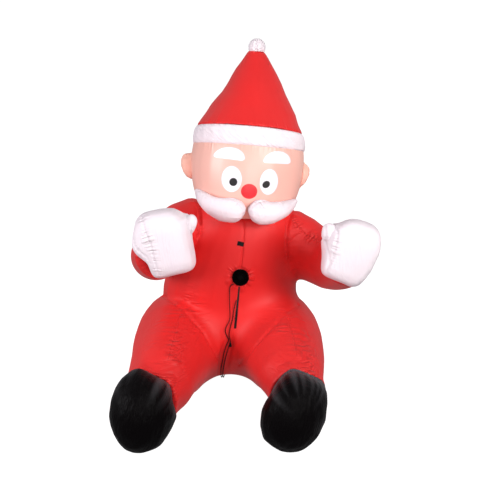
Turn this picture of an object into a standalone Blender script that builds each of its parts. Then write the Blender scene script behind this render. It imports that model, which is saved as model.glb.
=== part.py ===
import math

import bmesh
import bpy
from mathutils import Euler, Vector
from mathutils.bvhtree import BVHTree

# Inflatable seated Santa: a garden figure of sewn polyester that a fan keeps blown up.
# Metres, +Z up. The figure faces -Y, and left and right are the viewer's.
# Pose, bulges and lean are shares of the figure's height. Fittings keep their own sizes.

# Driving sizes
FIGURE_HEIGHT = 2.10
SEAM_GAP = 0.0004
SHOULDER_GAP = 0.002
SEAT_CLEARANCE = 0.035
HAT_BAND_HEIGHT = 0.095
HAT_BAND_PUFF = 0.016
POMPOM_RADIUS = 0.054
EAR_RADIUS = 0.078
EAR_REACH_SHARE = 0.65
EAR_THICKNESS = 0.10
MITTEN_HEIGHT = 0.40
MITTEN_WIDTH = 0.345
MITTEN_THICKNESS = 0.24
THUMB_LENGTH = 0.11
THUMB_RADIUS = 0.042
BOOT_LENGTH = 0.32
BOOT_HEIGHT = 0.42
BOOT_WIDTH = 0.345
FAN_DIAMETER = 0.100
FAN_DEPTH = 0.026
FAN_GUARD_HEIGHT = 0.008
FAN_HUB_DIAMETER = 0.034
ZIP_LENGTH = 0.240
ZIP_WIDTH = 0.012
ZIP_THICKNESS = 0.003
ZIP_TOP_GAP = 4 * SEAM_GAP
ZIP_LIFT = 3 * SEAM_GAP
TAB_LENGTH = 0.039
TAB_WIDTH = 0.025
TAB_THICKNESS = 0.003
TAB_TURN = 12.0
LEAD_DIAMETER = 0.005
SUPPLY_DIAMETER = 0.006
CLIP_HEIGHT = 0.034
CLIP_WIDTH = 0.015
CLIP_THICKNESS = 0.006
SPLITTER_LENGTH = 0.040
SPLITTER_WIDTH = 0.024
SPLITTER_HEIGHT = 0.011
SPLITTER_EDGE = 0.002
COIL_COLUMNS = 2
COIL_ROWS = 4
COIL_MEAN_DIAMETER = 0.066
ADAPTER_LENGTH = 0.070
ADAPTER_DEPTH = 0.034
ADAPTER_HEIGHT = 0.050
ADAPTER_EDGE = 0.004
RELIEF_LENGTH = 0.014
RELIEF_DIAMETER = 0.010
BLADE_LENGTH = 0.016
BLADE_WIDTH = 0.0063
BLADE_THICKNESS = 0.0015
BLADE_SPACING = 0.0127

# How far the soft thighs and boots press flat onto the floor
FLOOR_PRESS = 0.006

# The pose was drawn at this height, and every station below is in its metres
POSE_HEIGHT = 2.10
SCALE = FIGURE_HEIGHT / POSE_HEIGHT

# Facets around each form
COLUMN_SIDES = 28
LEG_SIDES = 24
ARM_SIDES = 20
BOOT_SIDES = 22
MITTEN_SIDES = 20
MITTEN_RINGS = 10
MOUSTACHE_SIDES = 14
EAR_SIDES = 14
FAN_SIDES = 32
POMPOM_SIDES = 14
COIL_SIDES = 24
RELIEF_SIDES = 12
THUMB_SIDES = 12
ZIP_STEPS = 18
STEPS_BETWEEN_POINTS = 12
FAN_LEAD_STEPS = 48
LIGHT_LEAD_STEPS = 44
SUPPLY_NEAR_STEPS = 8
SUPPLY_FAR_STEPS = 14

# How boxy the puffed mittens are: 2 is round, and more is squarer
MITTEN_SQUARENESS = 3.4
THUMB_SQUARENESS = 2.4
MITTEN_TILT = 6.0

# The fan's outline as shares of its radius, its depth and its guard's height
FAN_BACK_SHARE = 0.88
FAN_FACE_SHARE = 0.92
FAN_BEVEL_SHARE = 0.90
FAN_RIM_SHARE = 0.50
FAN_HUB_RISE = 1.60
RELIEF_END_SHARE = 1.30

# Stations of the column: axis x, y, z, half width, front, back, pitch and roll in degrees
SEAT = (0.000, 0.00, SEAT_CLEARANCE, 0.150, 0.150, 0.150, 0.0, 0.0)
NECK = (0.098, 0.00, 1.120, 0.290, 0.275, 0.250, 15.0, 4.0)
BAND_LOW = (0.122, 0.00, 1.462, 0.336, 0.330, 0.320, -7.0, 4.5)
BAND_HIGH_X = 0.128
BAND_HIGH_RING = (0.322, 0.320, 0.310, -8.0, 5.0)

TORSO_STATIONS = [
    SEAT,
    (0.000, 0.00, 0.060, 0.260, 0.250, 0.250, 0.0, 0.0),
    (0.000, 0.00, 0.140, 0.345, 0.335, 0.320, 0.0, 0.0),
    (0.000, 0.00, 0.280, 0.400, 0.400, 0.360, 0.0, 0.0),
    (0.000, 0.00, 0.450, 0.425, 0.420, 0.370, 0.0, 0.0),
    (0.002, 0.00, 0.590, 0.424, 0.405, 0.355, 0.0, 0.0),
    (0.028, 0.00, 0.730, 0.400, 0.375, 0.335, 2.0, 1.0),
    (0.064, 0.00, 0.880, 0.368, 0.335, 0.305, 6.0, 2.0),
    (0.086, 0.00, 1.010, 0.338, 0.305, 0.280, 11.0, 3.0),
    NECK,
]
HEAD_STATIONS = [
    NECK,
    (0.102, -0.005, 1.175, 0.318, 0.316, 0.296, 12.0, 4.0),
    (0.107, -0.010, 1.250, 0.338, 0.336, 0.324, 5.0, 4.0),
    (0.112, -0.008, 1.340, 0.348, 0.342, 0.335, -1.0, 4.0),
    (0.118, -0.004, 1.410, 0.345, 0.338, 0.330, -5.0, 4.5),
    BAND_LOW,
]
HAT_STATIONS_ABOVE_BAND = [
    (0.131, 0.010, 1.620, 0.289, 0.288, 0.280, -6.0, 4.0),
    (0.137, 0.020, 1.690, 0.248, 0.247, 0.240, -4.0, 3.0),
    (0.149, 0.030, 1.780, 0.192, 0.192, 0.190, -2.0, 2.0),
    (0.164, 0.040, 1.900, 0.118, 0.118, 0.118, -1.0, 1.0),
    (0.169, 0.050, 2.015, 0.050, 0.050, 0.050, 0.0, 0.0),
    (0.171, 0.050, 2.033, 0.026, 0.026, 0.026, 0.0, 0.0),
]
POMPOM_CENTRE = (0.172, 0.050, 2.046)

# Stations of a limb, from inside the torso outwards: centre x, y, z, half width, half height
LEFT_LEG_STATIONS = [
    (-0.150, 0.285, 0.255, 0.050, 0.050),
    (-0.178, 0.225, 0.262, 0.185, 0.185),
    (-0.228, 0.090, 0.264, 0.275, 0.278),
    (-0.272, -0.100, 0.276, 0.308, 0.294),
    (-0.308, -0.340, 0.270, 0.270, 0.284),
    (-0.340, -0.600, 0.262, 0.214, 0.226),
    (-0.360, -0.790, 0.234, 0.182, 0.195),
    (-0.378, -0.915, 0.215, 0.166, 0.176),
]
RIGHT_LEG_STATIONS = [
    (0.150, 0.285, 0.255, 0.050, 0.050),
    (0.180, 0.225, 0.262, 0.185, 0.185),
    (0.230, 0.090, 0.264, 0.270, 0.278),
    (0.268, -0.100, 0.276, 0.292, 0.294),
    (0.306, -0.340, 0.278, 0.270, 0.280),
    (0.336, -0.600, 0.290, 0.222, 0.205),
    (0.352, -0.790, 0.280, 0.182, 0.160),
    (0.362, -0.915, 0.262, 0.160, 0.150),
]
LEFT_ARM_STATIONS = [
    (-0.060, 0.010, 0.920, 0.150, 0.150),
    (-0.200, -0.010, 0.925, 0.210, 0.222),
    (-0.340, -0.080, 0.868, 0.195, 0.205),
    (-0.415, -0.220, 0.840, 0.165, 0.158),
    (-0.418, -0.360, 0.846, 0.148, 0.140),
    (-0.385, -0.500, 0.882, 0.132, 0.130),
]
RIGHT_ARM_STATIONS = [
    (0.230, 0.010, 0.900, 0.150, 0.150),
    (0.370, -0.010, 0.872, 0.205, 0.198),
    (0.510, -0.080, 0.805, 0.180, 0.180),
    (0.620, -0.210, 0.775, 0.165, 0.166),
    (0.668, -0.350, 0.800, 0.150, 0.150),
    (0.678, -0.500, 0.860, 0.132, 0.132),
]

# Moustache stations: centre x, y, z and half thickness
LEFT_MOUSTACHE_STATIONS = [
    (0.094, -0.338, 1.110, 0.026),
    (0.076, -0.338, 1.112, 0.060),
    (0.030, -0.340, 1.117, 0.077),
    (-0.037, -0.325, 1.129, 0.074),
    (-0.102, -0.288, 1.154, 0.058),
    (-0.155, -0.235, 1.186, 0.037),
    (-0.190, -0.180, 1.216, 0.014),
]
RIGHT_MOUSTACHE_STATIONS = [
    (0.108, -0.338, 1.104, 0.026),
    (0.126, -0.338, 1.103, 0.060),
    (0.174, -0.336, 1.100, 0.077),
    (0.254, -0.312, 1.096, 0.074),
    (0.329, -0.262, 1.108, 0.058),
    (0.384, -0.205, 1.128, 0.037),
    (0.422, -0.160, 1.151, 0.014),
]

# Boot stations: share of its length, share of its half width, share of its half height
BOOT_PROFILE = [
    (0.00, 0.0, 0.0),
    (0.13, 0.96, 0.90),
    (0.33, 1.00, 1.00),
    (0.55, 0.98, 0.98),
    (0.74, 0.86, 0.87),
    (0.89, 0.62, 0.64),
    (0.97, 0.34, 0.36),
    (1.00, 0.12, 0.12),
]

# Where each sole's middle stands on the floor, and how far along the boot that is
LEFT_SOLE = (-0.414, -1.059)
RIGHT_SOLE = (0.353, -1.059)
SOLE_SHARE = 0.45

# Mittens: centre, lean to the right and turn about the upright axis in degrees
LEFT_MITTEN = ((-0.338, -0.600, 0.972), -9.0, -14.0)
RIGHT_MITTEN = ((0.685, -0.600, 0.914), 20.0, 8.0)
LEFT_THUMB = ((-0.190, -0.630, 1.087), 14.0)
RIGHT_THUMB = ((0.556, -0.640, 1.048), -4.0)

LEFT_EAR_CENTRE = (-0.240, -0.020, 1.330)
RIGHT_EAR_CENTRE = (0.438, -0.020, 1.272)

# Leads: points chosen by hand on the belly, under the seat and on the floor behind
SPLITTER_PLACE = (-0.170, 0.913, 0.0055)
COIL_PLACE = (-0.134, 1.060, 0.0003)
ADAPTER_PLACE = (0.010, 1.030, 0.020)
CLIP_PLACE = (-0.130, 0.009, 0.330)
FAN_LEAD_POINTS = [
    (-0.1130, 0.0450, 0.6880),
    (-0.1320, 0.0400, 0.6710),
    (-0.1350, 0.0240, 0.6000),
    (-0.1330, 0.0120, 0.5150),
    (-0.1360, 0.0090, 0.4770),
    (-0.1600, 0.0100, 0.4240),
    (-0.1570, 0.0120, 0.3900),
    (-0.1420, 0.0150, 0.3520),
    (-0.1550, 0.0200, 0.3200),
    (-0.1730, 0.0370, 0.2550),
    (-0.1800, 0.0560, 0.2080),
    (-0.1920, 0.0950, 0.1420),
    (-0.1950, 0.1710, 0.0620),
    (-0.1930, 0.2430, 0.0260),
    (-0.1900, 0.3530, 0.0080),
    (-0.1870, 0.4830, 0.0040),
    (-0.1840, 0.6330, 0.0040),
    (-0.1790, 0.7830, 0.0040),
    (-0.1760, 0.8927, 0.0055),
]
LIGHT_LEAD_POINTS = [
    (-0.0958, 0.0300, 0.5940),
    (-0.1080, 0.0190, 0.5490),
    (-0.1180, 0.0120, 0.4850),
    (-0.1340, 0.0100, 0.4250),
    (-0.1390, 0.0110, 0.3810),
    (-0.1330, 0.0180, 0.3400),
    (-0.1490, 0.0270, 0.2850),
    (-0.1640, 0.0510, 0.2220),
    (-0.1780, 0.0950, 0.1400),
    (-0.1830, 0.1480, 0.0800),
    (-0.1820, 0.2200, 0.0330),
    (-0.1780, 0.3500, 0.0090),
    (-0.1740, 0.4800, 0.0040),
    (-0.1700, 0.6300, 0.0040),
    (-0.1660, 0.7800, 0.0040),
    (-0.1640, 0.8927, 0.0055),
]
SUPPLY_NEAR_POINTS = [
    (-0.1700, 0.9333, 0.0055),
    (-0.1700, 0.9500, 0.0042),
    (-0.1700, 0.9900, 0.0036),
    (-0.1700, 1.0385, 0.0036),
]
SUPPLY_FAR_POINTS = [
    (-0.0980, 1.0385, 0.0200),
    (-0.0970, 1.0150, 0.0150),
    (-0.0900, 0.9950, 0.0080),
    (-0.0700, 0.9850, 0.0045),
    (-0.0400, 0.9950, 0.0045),
    (-0.0200, 1.0220, 0.0150),
    (-0.0050, 1.0290, 0.0195),
    (0.0092, 1.0300, 0.0200),
]

FAN_X = 0.074
FAN_Z = 0.723
TAB_X = 0.075
TAB_Z = 0.913
ZIP_TOP_X = 0.067
ZIP_LEAN = 0.10


def clear_scene():
    for item in list(bpy.data.objects):
        bpy.data.objects.remove(item, do_unlink=True)


def fabric(name, colour, roughness):
    material = bpy.data.materials.new(name)
    material.use_nodes = True
    shader = material.node_tree.nodes["Principled BSDF"]
    shader.inputs["Base Color"].default_value = (*colour, 1.0)
    shader.inputs["Roughness"].default_value = roughness
    shader.inputs["Metallic"].default_value = 0.0
    material.diffuse_color = (*colour, 1.0)
    return material


def add_object(name, mesh_data, material):
    mesh = bpy.data.meshes.new(name)
    bmesh.ops.recalc_face_normals(mesh_data, faces=mesh_data.faces)
    mesh_data.to_mesh(mesh)
    mesh_data.free()
    if material is not None:
        mesh.materials.append(material)
    mesh.shade_smooth()
    mesh.set_sharp_from_angle(angle=math.radians(38.0))
    item = bpy.data.objects.new(name, mesh)
    bpy.context.scene.collection.objects.link(item)
    return item


# Catmull-Rom through stations, which are tuples of numbers
def between(before, start, end, after, t):
    values = []
    for a, b, c, d in zip(before, start, end, after):
        bend = (2 * a - 5 * b + 4 * c - d) * t * t + (3 * b - a - 3 * c + d) * t ** 3
        values.append(0.5 * (2 * b + (c - a) * t + bend))
    return tuple(values)


def refined(stations, per_span):
    last = len(stations) - 1
    result = []
    for i in range(last):
        before = stations[max(i - 1, 0)]
        after = stations[min(i + 2, last)]
        for step in range(per_span):
            result.append(between(before, stations[i], stations[i + 1], after, step / per_span))
    result.append(stations[last])
    return result


# A ring is its centre, its side and up axes, and its half sizes: side, up and down
def ring_points(ring, sides, squareness=2.0):
    centre, side, up, half_side, half_up, half_down = ring
    points = []
    for i in range(sides):
        angle = 2 * math.pi * i / sides
        across = math.copysign(abs(math.cos(angle)) ** (2 / squareness), math.cos(angle))
        along = math.copysign(abs(math.sin(angle)) ** (2 / squareness), math.sin(angle))
        reach = half_up if along > 0 else half_down
        points.append(centre + side * (half_side * across) + up * (reach * along))
    return points


def ring_normal(ring):
    return ring[1].cross(ring[2]).normalized()


def shifted(ring, distance):
    return (ring[0] + ring_normal(ring) * distance, *ring[1:])


def loft(rings, floor=False):
    mesh_data = bmesh.new()
    loops = []
    for points in rings:
        if floor:
            points = [Vector((p.x, p.y, max(p.z, 0.0))) for p in points]
        loops.append([mesh_data.verts.new(p) for p in points])
    for lower, upper in zip(loops, loops[1:]):
        count = len(lower)
        for i in range(count):
            following = (i + 1) % count
            mesh_data.faces.new((lower[i], lower[following], upper[following], upper[i]))
    mesh_data.faces.new(list(reversed(loops[0])))
    mesh_data.faces.new(loops[-1])
    return mesh_data


# Torso, head, band and hat
def column_ring(station):
    x, y, z, half_width, front, back, pitch, roll = station
    turn = Euler((math.radians(pitch), math.radians(roll), 0.0)).to_matrix()
    side = turn @ Vector((1, 0, 0))
    up = turn @ Vector((0, 1, 0))
    return (Vector((x, y, z)) * SCALE, side, up, half_width * SCALE, back * SCALE, front * SCALE)


def column_piece(name, stations, per_span, material, first_gap):
    rings = [column_ring(station) for station in refined(stations, per_span)]
    rings[0] = shifted(rings[0], first_gap)
    return add_object(name, loft([ring_points(ring, COLUMN_SIDES) for ring in rings]), material)


def band_stations():
    x, y, z, half_width, front, back, pitch, roll = BAND_LOW
    puff = HAT_BAND_PUFF / SCALE
    height = HAT_BAND_HEIGHT / SCALE
    top_half, top_front, top_back, top_pitch, top_roll = BAND_HIGH_RING
    stations = [BAND_LOW]
    for share, swell in ((0.12, 0.75), (0.35, 1.0), (0.65, 1.0), (0.88, 0.75)):
        wide = half_width + (top_half - half_width) * share + puff * swell
        fore = front + (top_front - front) * share + puff * swell
        aft = back + (top_back - back) * share + puff * swell
        tilt = pitch + (top_pitch - pitch) * share
        lean = roll + (top_roll - roll) * share
        stations.append((x + (BAND_HIGH_X - x) * share, y, z + height * share, wide, fore, aft, tilt, lean))
    stations.append((BAND_HIGH_X, y, z + height, *BAND_HIGH_RING))
    return stations


# Legs and sleeves follow their own axis
def limb_rings(stations, per_span):
    fine = refined(stations, per_span)
    rings = []
    for i, (x, y, z, half_side, half_up) in enumerate(fine):
        ahead = fine[min(i + 1, len(fine) - 1)]
        behind = fine[max(i - 1, 0)]
        direction = Vector(ahead[:3]) - Vector(behind[:3])
        side = Vector((0, 0, 1)).cross(direction).normalized()
        up = direction.cross(side).normalized()
        centre = Vector((x, y, z)) * SCALE
        rings.append((centre, side, up, half_side * SCALE, half_up * SCALE, half_up * SCALE))
    return rings


def limb(name, rings, sides):
    return add_object(name, loft([ring_points(ring, sides) for ring in rings], floor=True), None)


def apply_modifiers(item):
    graph = bpy.context.evaluated_depsgraph_get()
    mesh = bpy.data.meshes.new_from_object(item.evaluated_get(graph))
    old = item.data
    item.modifiers.clear()
    item.data = mesh
    mesh.name = item.name
    bpy.data.meshes.remove(old)


def boolean(item, other, operation):
    cut = item.modifiers.new(operation.lower(), "BOOLEAN")
    cut.operation = operation
    cut.solver = "EXACT"
    cut.object = other
    apply_modifiers(item)


def join_into(item, others):
    for other in others:
        boolean(item, other, "UNION")
        bpy.data.objects.remove(other, do_unlink=True)


# A copy of a neighbour grown by the seam gap, used once to cut and then removed
def cut_by(item, neighbours, gap=SEAM_GAP):
    for neighbour in neighbours:
        mesh_data = bmesh.new()
        mesh_data.from_mesh(neighbour.data)
        for vert in mesh_data.verts:
            vert.normal_update()
        grown = [vert.co + vert.normal * gap for vert in mesh_data.verts]
        for vert, place in zip(mesh_data.verts, grown):
            vert.co = place
        cutter = add_object("cutter", mesh_data, None)
        boolean(item, cutter, "DIFFERENCE")
        bpy.data.objects.remove(cutter, do_unlink=True)
    keep_largest(item)


def keep_largest(item):
    mesh_data = bmesh.new()
    mesh_data.from_mesh(item.data)
    unseen = set(mesh_data.verts)
    shells = []
    while unseen:
        stack = [unseen.pop()]
        shell = set(stack)
        while stack:
            for edge in stack.pop().link_edges:
                for vert in edge.verts:
                    if vert in unseen:
                        unseen.remove(vert)
                        shell.add(vert)
                        stack.append(vert)
        shells.append(shell)
    shells.sort(key=len)
    for shell in shells[:-1]:
        bmesh.ops.delete(mesh_data, geom=list(shell), context="VERTS")
    mesh_data.to_mesh(item.data)
    mesh_data.free()


def surface_of(item):
    graph = bpy.context.evaluated_depsgraph_get()
    return BVHTree.FromObject(item, graph)


# The point of a surface that faces the viewer at x and z, with its outward normal
def front_point(surface, x, z):
    place, normal, _, _ = surface.ray_cast(Vector((x, -3.0 * FIGURE_HEIGHT, z)), Vector((0, 1, 0)))
    return place, normal


# The sleeves' shoulders stop short of the head before they join the torso
def make_suit(head, material):
    suit = column_piece("suit", TORSO_STATIONS, 2, material, 0.0)
    left_leg = limb_rings(LEFT_LEG_STATIONS, 2)
    right_leg = limb_rings(RIGHT_LEG_STATIONS, 2)
    left_sleeve = limb("left sleeve", limb_rings(LEFT_ARM_STATIONS, 2), ARM_SIDES)
    right_sleeve = limb("right sleeve", limb_rings(RIGHT_ARM_STATIONS, 2), ARM_SIDES)
    cut_by(left_sleeve, [head], SHOULDER_GAP)
    cut_by(right_sleeve, [head], SHOULDER_GAP)
    legs = [limb("left leg", left_leg, LEG_SIDES), limb("right leg", right_leg, LEG_SIDES)]
    join_into(suit, legs + [left_sleeve, right_sleeve])
    return suit, left_leg[-1], right_leg[-1]


def make_boot(name, ankle, sole, material):
    start = shifted(ankle, SEAM_GAP)
    centre, side = start[:2]
    heading = Vector((sole[0] * SCALE - centre.x, sole[1] * SCALE - centre.y, 0.0)).normalized()
    lead = BOOT_LENGTH * SOLE_SHARE
    heel = Vector((sole[0] * SCALE, sole[1] * SCALE, BOOT_HEIGHT / 2 - FLOOR_PRESS)) - heading * lead
    upright = Vector((0, 0, 1))
    rings = [ring_points(start, BOOT_SIDES)]
    for along, wide, tall in BOOT_PROFILE[1:]:
        middle = heel + heading * (BOOT_LENGTH * along)
        width = BOOT_WIDTH / 2 * wide
        height = BOOT_HEIGHT / 2 * tall
        rings.append(ring_points((middle, side, upright, width, height, height), BOOT_SIDES))
    return add_object(name, loft(rings, floor=True), material)


# A puffy box: rings along its upright axis that close like a superellipse
def puffy_box(name, centre, turn, sizes, shape, material):
    width, thickness, height = sizes
    sides, squareness = shape
    side = turn @ Vector((1, 0, 0))
    depth = turn @ Vector((0, 1, 0))
    upright = turn @ Vector((0, 0, 1))
    rings = []
    steps = MITTEN_RINGS
    for i in range(steps + 1):
        angle = math.pi * (i + 0.35) / (steps + 0.7) - math.pi / 2
        level = math.copysign(abs(math.sin(angle)) ** (2 / squareness), math.sin(angle))
        size = abs(math.cos(angle)) ** (2 / squareness)
        middle = centre + upright * (height / 2 * level)
        ring = (middle, side, depth, width / 2 * size, thickness / 2 * size, thickness / 2 * size)
        rings.append(ring_points(ring, sides, squareness))
    return add_object(name, loft(rings), material)


def make_mitten(name, pose, thumb_pose, material):
    place, lean, turn = pose
    upright = Euler((math.radians(MITTEN_TILT), math.radians(lean), math.radians(turn))).to_matrix()
    mitten_sizes = (MITTEN_WIDTH, MITTEN_THICKNESS, MITTEN_HEIGHT)
    mitten_shape = (MITTEN_SIDES, MITTEN_SQUARENESS)
    mitten = puffy_box(name, Vector(place) * SCALE, upright, mitten_sizes, mitten_shape, material)
    thumb_place, thumb_lean = thumb_pose
    thumb_turn = Euler((0.0, math.radians(thumb_lean), 0.0)).to_matrix()
    thumb_sizes = (2 * THUMB_RADIUS, 2 * THUMB_RADIUS, THUMB_LENGTH)
    thumb_shape = (THUMB_SIDES, THUMB_SQUARENESS)
    thumb = puffy_box("thumb", Vector(thumb_place) * SCALE, thumb_turn, thumb_sizes, thumb_shape, None)
    join_into(mitten, [thumb])
    return mitten


def make_moustache(name, stations, material):
    rings = limb_rings([(x, y, z, radius, radius) for x, y, z, radius in stations], 2)
    return add_object(name, loft([ring_points(ring, MOUSTACHE_SIDES) for ring in rings]), material)


def ball(name, centre, half_sizes, sides, material):
    mesh_data = bmesh.new()
    bmesh.ops.create_uvsphere(mesh_data, u_segments=sides, v_segments=sides // 2, radius=1.0)
    for vert in mesh_data.verts:
        vert.co = Vector(centre) + Vector(a * b for a, b in zip(vert.co, half_sizes))
    return add_object(name, mesh_data, material)


def frame_on(place, normal, turn):
    side = Vector((0, 0, 1)).cross(-normal).normalized()
    up = side.cross(-normal).normalized()
    if up.z < 0:
        up = -up
    angle = math.radians(turn)
    right = side * math.cos(angle) + up * math.sin(angle)
    above = up * math.cos(angle) - side * math.sin(angle)
    return place, right, above, normal


# The fan's housing sinks into the belly and its guard stands proud of it
def make_fan(belly, material):
    place, normal = front_point(belly, FAN_X * SCALE, FAN_Z * SCALE)
    place, right, above, out = frame_on(place, normal, 0.0)
    fan_radius = FAN_DIAMETER / 2
    outline = [
        (fan_radius * FAN_BACK_SHARE, -FAN_DEPTH),
        (fan_radius, -FAN_DEPTH * FAN_BEVEL_SHARE),
        (fan_radius, FAN_GUARD_HEIGHT * FAN_RIM_SHARE),
        (fan_radius * FAN_FACE_SHARE, FAN_GUARD_HEIGHT),
        (FAN_HUB_DIAMETER / 2, FAN_GUARD_HEIGHT * FAN_HUB_RISE),
    ]
    rings = []
    for radius, depth in outline:
        ring = (place + out * depth, right, above, radius, radius, radius)
        rings.append(ring_points(ring, FAN_SIDES))
    return add_object("fan_cover", loft(rings), material)


def make_tab(belly, material):
    place, normal = front_point(belly, TAB_X * SCALE, TAB_Z * SCALE)
    place, right, above, out = frame_on(place, normal, TAB_TURN)
    mesh_data = bmesh.new()
    loops = []
    for depth in (SEAM_GAP, SEAM_GAP + TAB_THICKNESS):
        middle = place + out * depth
        corners = []
        for a, b in ((-0.5, -0.5), (0.5, -0.5), (0.5, 0.5), (-0.5, 0.5)):
            corners.append(middle + right * (a * TAB_LENGTH) + above * (b * TAB_WIDTH))
        loops.append([mesh_data.verts.new(corner) for corner in corners])
    for i in range(4):
        following = (i + 1) % 4
        mesh_data.faces.new((loops[0][i], loops[0][following], loops[1][following], loops[1][i]))
    mesh_data.faces.new(list(reversed(loops[0])))
    mesh_data.faces.new(loops[1])
    return add_object("chest_tab", mesh_data, material)


def make_zip(belly, material):
    top = FAN_Z * SCALE - FAN_DIAMETER / 2 - ZIP_TOP_GAP
    loops = []
    mesh_data = bmesh.new()
    for i in range(ZIP_STEPS + 1):
        z = top - ZIP_LENGTH * i / ZIP_STEPS
        x = ZIP_TOP_X * SCALE - ZIP_LEAN * (top - z)
        place, normal = front_point(belly, x, z)
        right = Vector((1, 0, 0))
        base = place + normal * ZIP_LIFT
        face = base + normal * ZIP_THICKNESS
        half = right * (ZIP_WIDTH / 2)
        loops.append([mesh_data.verts.new(p) for p in (base - half, base + half, face + half, face - half)])
    for lower, upper in zip(loops, loops[1:]):
        for i in range(4):
            following = (i + 1) % 4
            mesh_data.faces.new((lower[i], lower[following], upper[following], upper[i]))
    mesh_data.faces.new(list(reversed(loops[0])))
    mesh_data.faces.new(loops[-1])
    return add_object("zip", mesh_data, material)


# The figure stands on the floor with its origin below the middle of its bounding box
def stand_at_origin(items):
    bpy.context.view_layer.update()
    corners = [item.matrix_world @ vert.co for item in items for vert in item.data.vertices]
    low = Vector(min(corner[axis] for corner in corners) for axis in range(3))
    high = Vector(max(corner[axis] for corner in corners) for axis in range(3))
    stand = bpy.data.objects.new("figure_stand", None)
    bpy.context.scene.collection.objects.link(stand)
    stand.location = (-(low.x + high.x) / 2, -(low.y + high.y) / 2, -low.z)
    for item in items:
        item.parent = stand


def even_path(points, count):
    fine = [Vector(p) for p in refined(points, STEPS_BETWEEN_POINTS)]
    lengths = [0.0]
    for start, end in zip(fine, fine[1:]):
        lengths.append(lengths[-1] + (end - start).length)
    path = []
    at = 0
    for i in range(count):
        target = lengths[-1] * i / (count - 1)
        while at < len(fine) - 2 and lengths[at + 1] < target:
            at += 1
        share = (target - lengths[at]) / (lengths[at + 1] - lengths[at])
        path.append(fine[at].lerp(fine[at + 1], share))
    return path


def tube(name, points, diameter, count, material):
    curve = bpy.data.curves.new(name, "CURVE")
    curve.dimensions = "3D"
    curve.bevel_depth = diameter / 2
    curve.bevel_resolution = 2
    curve.use_fill_caps = True
    spline = curve.splines.new("POLY")
    path = even_path(points, count)
    spline.points.add(len(path) - 1)
    for point, place in zip(spline.points, path):
        point.co = (*place, 1.0)
    curve.materials.append(material)
    item = bpy.data.objects.new(name, curve)
    bpy.context.scene.collection.objects.link(item)
    return item


def block(name, centre, sizes, edge, material):
    mesh_data = bmesh.new()
    bmesh.ops.create_cube(mesh_data, size=1.0)
    for vert in mesh_data.verts:
        vert.co = Vector(a * b for a, b in zip(vert.co, sizes))
    if edge > 0:
        bmesh.ops.bevel(mesh_data, geom=mesh_data.edges, offset=edge, segments=2, affect="EDGES", profile=0.5)
    item = add_object(name, mesh_data, material)
    item.location = centre
    bpy.context.view_layer.update()
    return item


# A small hook-shaped clip, wide at its foot, in front of the two leads
def make_clip(material):
    mesh_data = bmesh.new()
    outline = [(-0.5, -0.5), (0.5, -0.42), (0.25, 0.1), (-0.1, 0.5), (-0.3, 0.45)]
    loops = []
    for depth in (0.0, -CLIP_THICKNESS):
        loops.append([mesh_data.verts.new((x * CLIP_WIDTH, depth, z * CLIP_HEIGHT)) for x, z in outline])
    mesh_data.faces.new(loops[0])
    mesh_data.faces.new(list(reversed(loops[1])))
    for i in range(len(outline)):
        following = (i + 1) % len(outline)
        mesh_data.faces.new((loops[0][i], loops[0][following], loops[1][following], loops[1][i]))
    item = add_object("lead_clip", mesh_data, material)
    item.location = CLIP_PLACE
    return item


# Turns lie side by side and on top of each other, and the ring is their outer shape
def make_coil(material):
    inner = COIL_MEAN_DIAMETER / 2 - COIL_COLUMNS * SUPPLY_DIAMETER / 2
    outer = COIL_MEAN_DIAMETER / 2 + COIL_COLUMNS * SUPPLY_DIAMETER / 2
    height = COIL_ROWS * SUPPLY_DIAMETER
    corners = [(inner, 0.0), (outer, 0.0), (outer, height), (inner, height)]
    mesh_data = bmesh.new()
    loops = []
    for i in range(COIL_SIDES):
        angle = 2 * math.pi * i / COIL_SIDES
        loops.append([mesh_data.verts.new((r * math.cos(angle), r * math.sin(angle), z)) for r, z in corners])
    for i in range(COIL_SIDES):
        following = loops[(i + 1) % COIL_SIDES]
        for j in range(4):
            k = (j + 1) % 4
            mesh_data.faces.new((loops[i][j], loops[i][k], following[k], following[j]))
    item = add_object("supply_coil", mesh_data, material)
    item.location = COIL_PLACE
    return item


def make_adapter(material):
    x, y, z = ADAPTER_PLACE
    centre = Vector((x + RELIEF_LENGTH + ADAPTER_LENGTH / 2, y, ADAPTER_HEIGHT / 2))
    sizes = (ADAPTER_LENGTH, ADAPTER_DEPTH, ADAPTER_HEIGHT)
    adapter = block("power_adapter", centre, sizes, ADAPTER_EDGE, material)
    relief = bmesh.new()
    bmesh.ops.create_cone(
        relief, cap_ends=True, segments=RELIEF_SIDES, depth=2 * RELIEF_LENGTH,
        radius1=SUPPLY_DIAMETER / 2 * RELIEF_END_SHARE, radius2=RELIEF_DIAMETER / 2
    )
    for vert in relief.verts:
        vert.co = Vector((vert.co.z, vert.co.y, -vert.co.x))
    collar = add_object("relief", relief, None)
    collar.location = (x + RELIEF_LENGTH, y, z)
    parts = [collar]
    for place in (-BLADE_SPACING / 2, BLADE_SPACING / 2):
        sizes = (BLADE_THICKNESS, 2 * BLADE_LENGTH, BLADE_WIDTH)
        blade_centre = centre + Vector((place, ADAPTER_DEPTH / 2, 0.0))
        parts.append(block("blade", blade_centre, sizes, 0.0, None))
    join_into(adapter, parts)
    return adapter


clear_scene()

red_cloth = fabric("red cloth", (0.62, 0.012, 0.012), 0.45)
skin_cloth = fabric("skin cloth", (0.86, 0.48, 0.34), 0.5)
white_cloth = fabric("white cloth", (0.85, 0.83, 0.86), 0.5)
black_cloth = fabric("black cloth", (0.008, 0.008, 0.010), 0.5)
black_plastic = fabric("black plastic", (0.012, 0.012, 0.014), 0.4)

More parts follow.
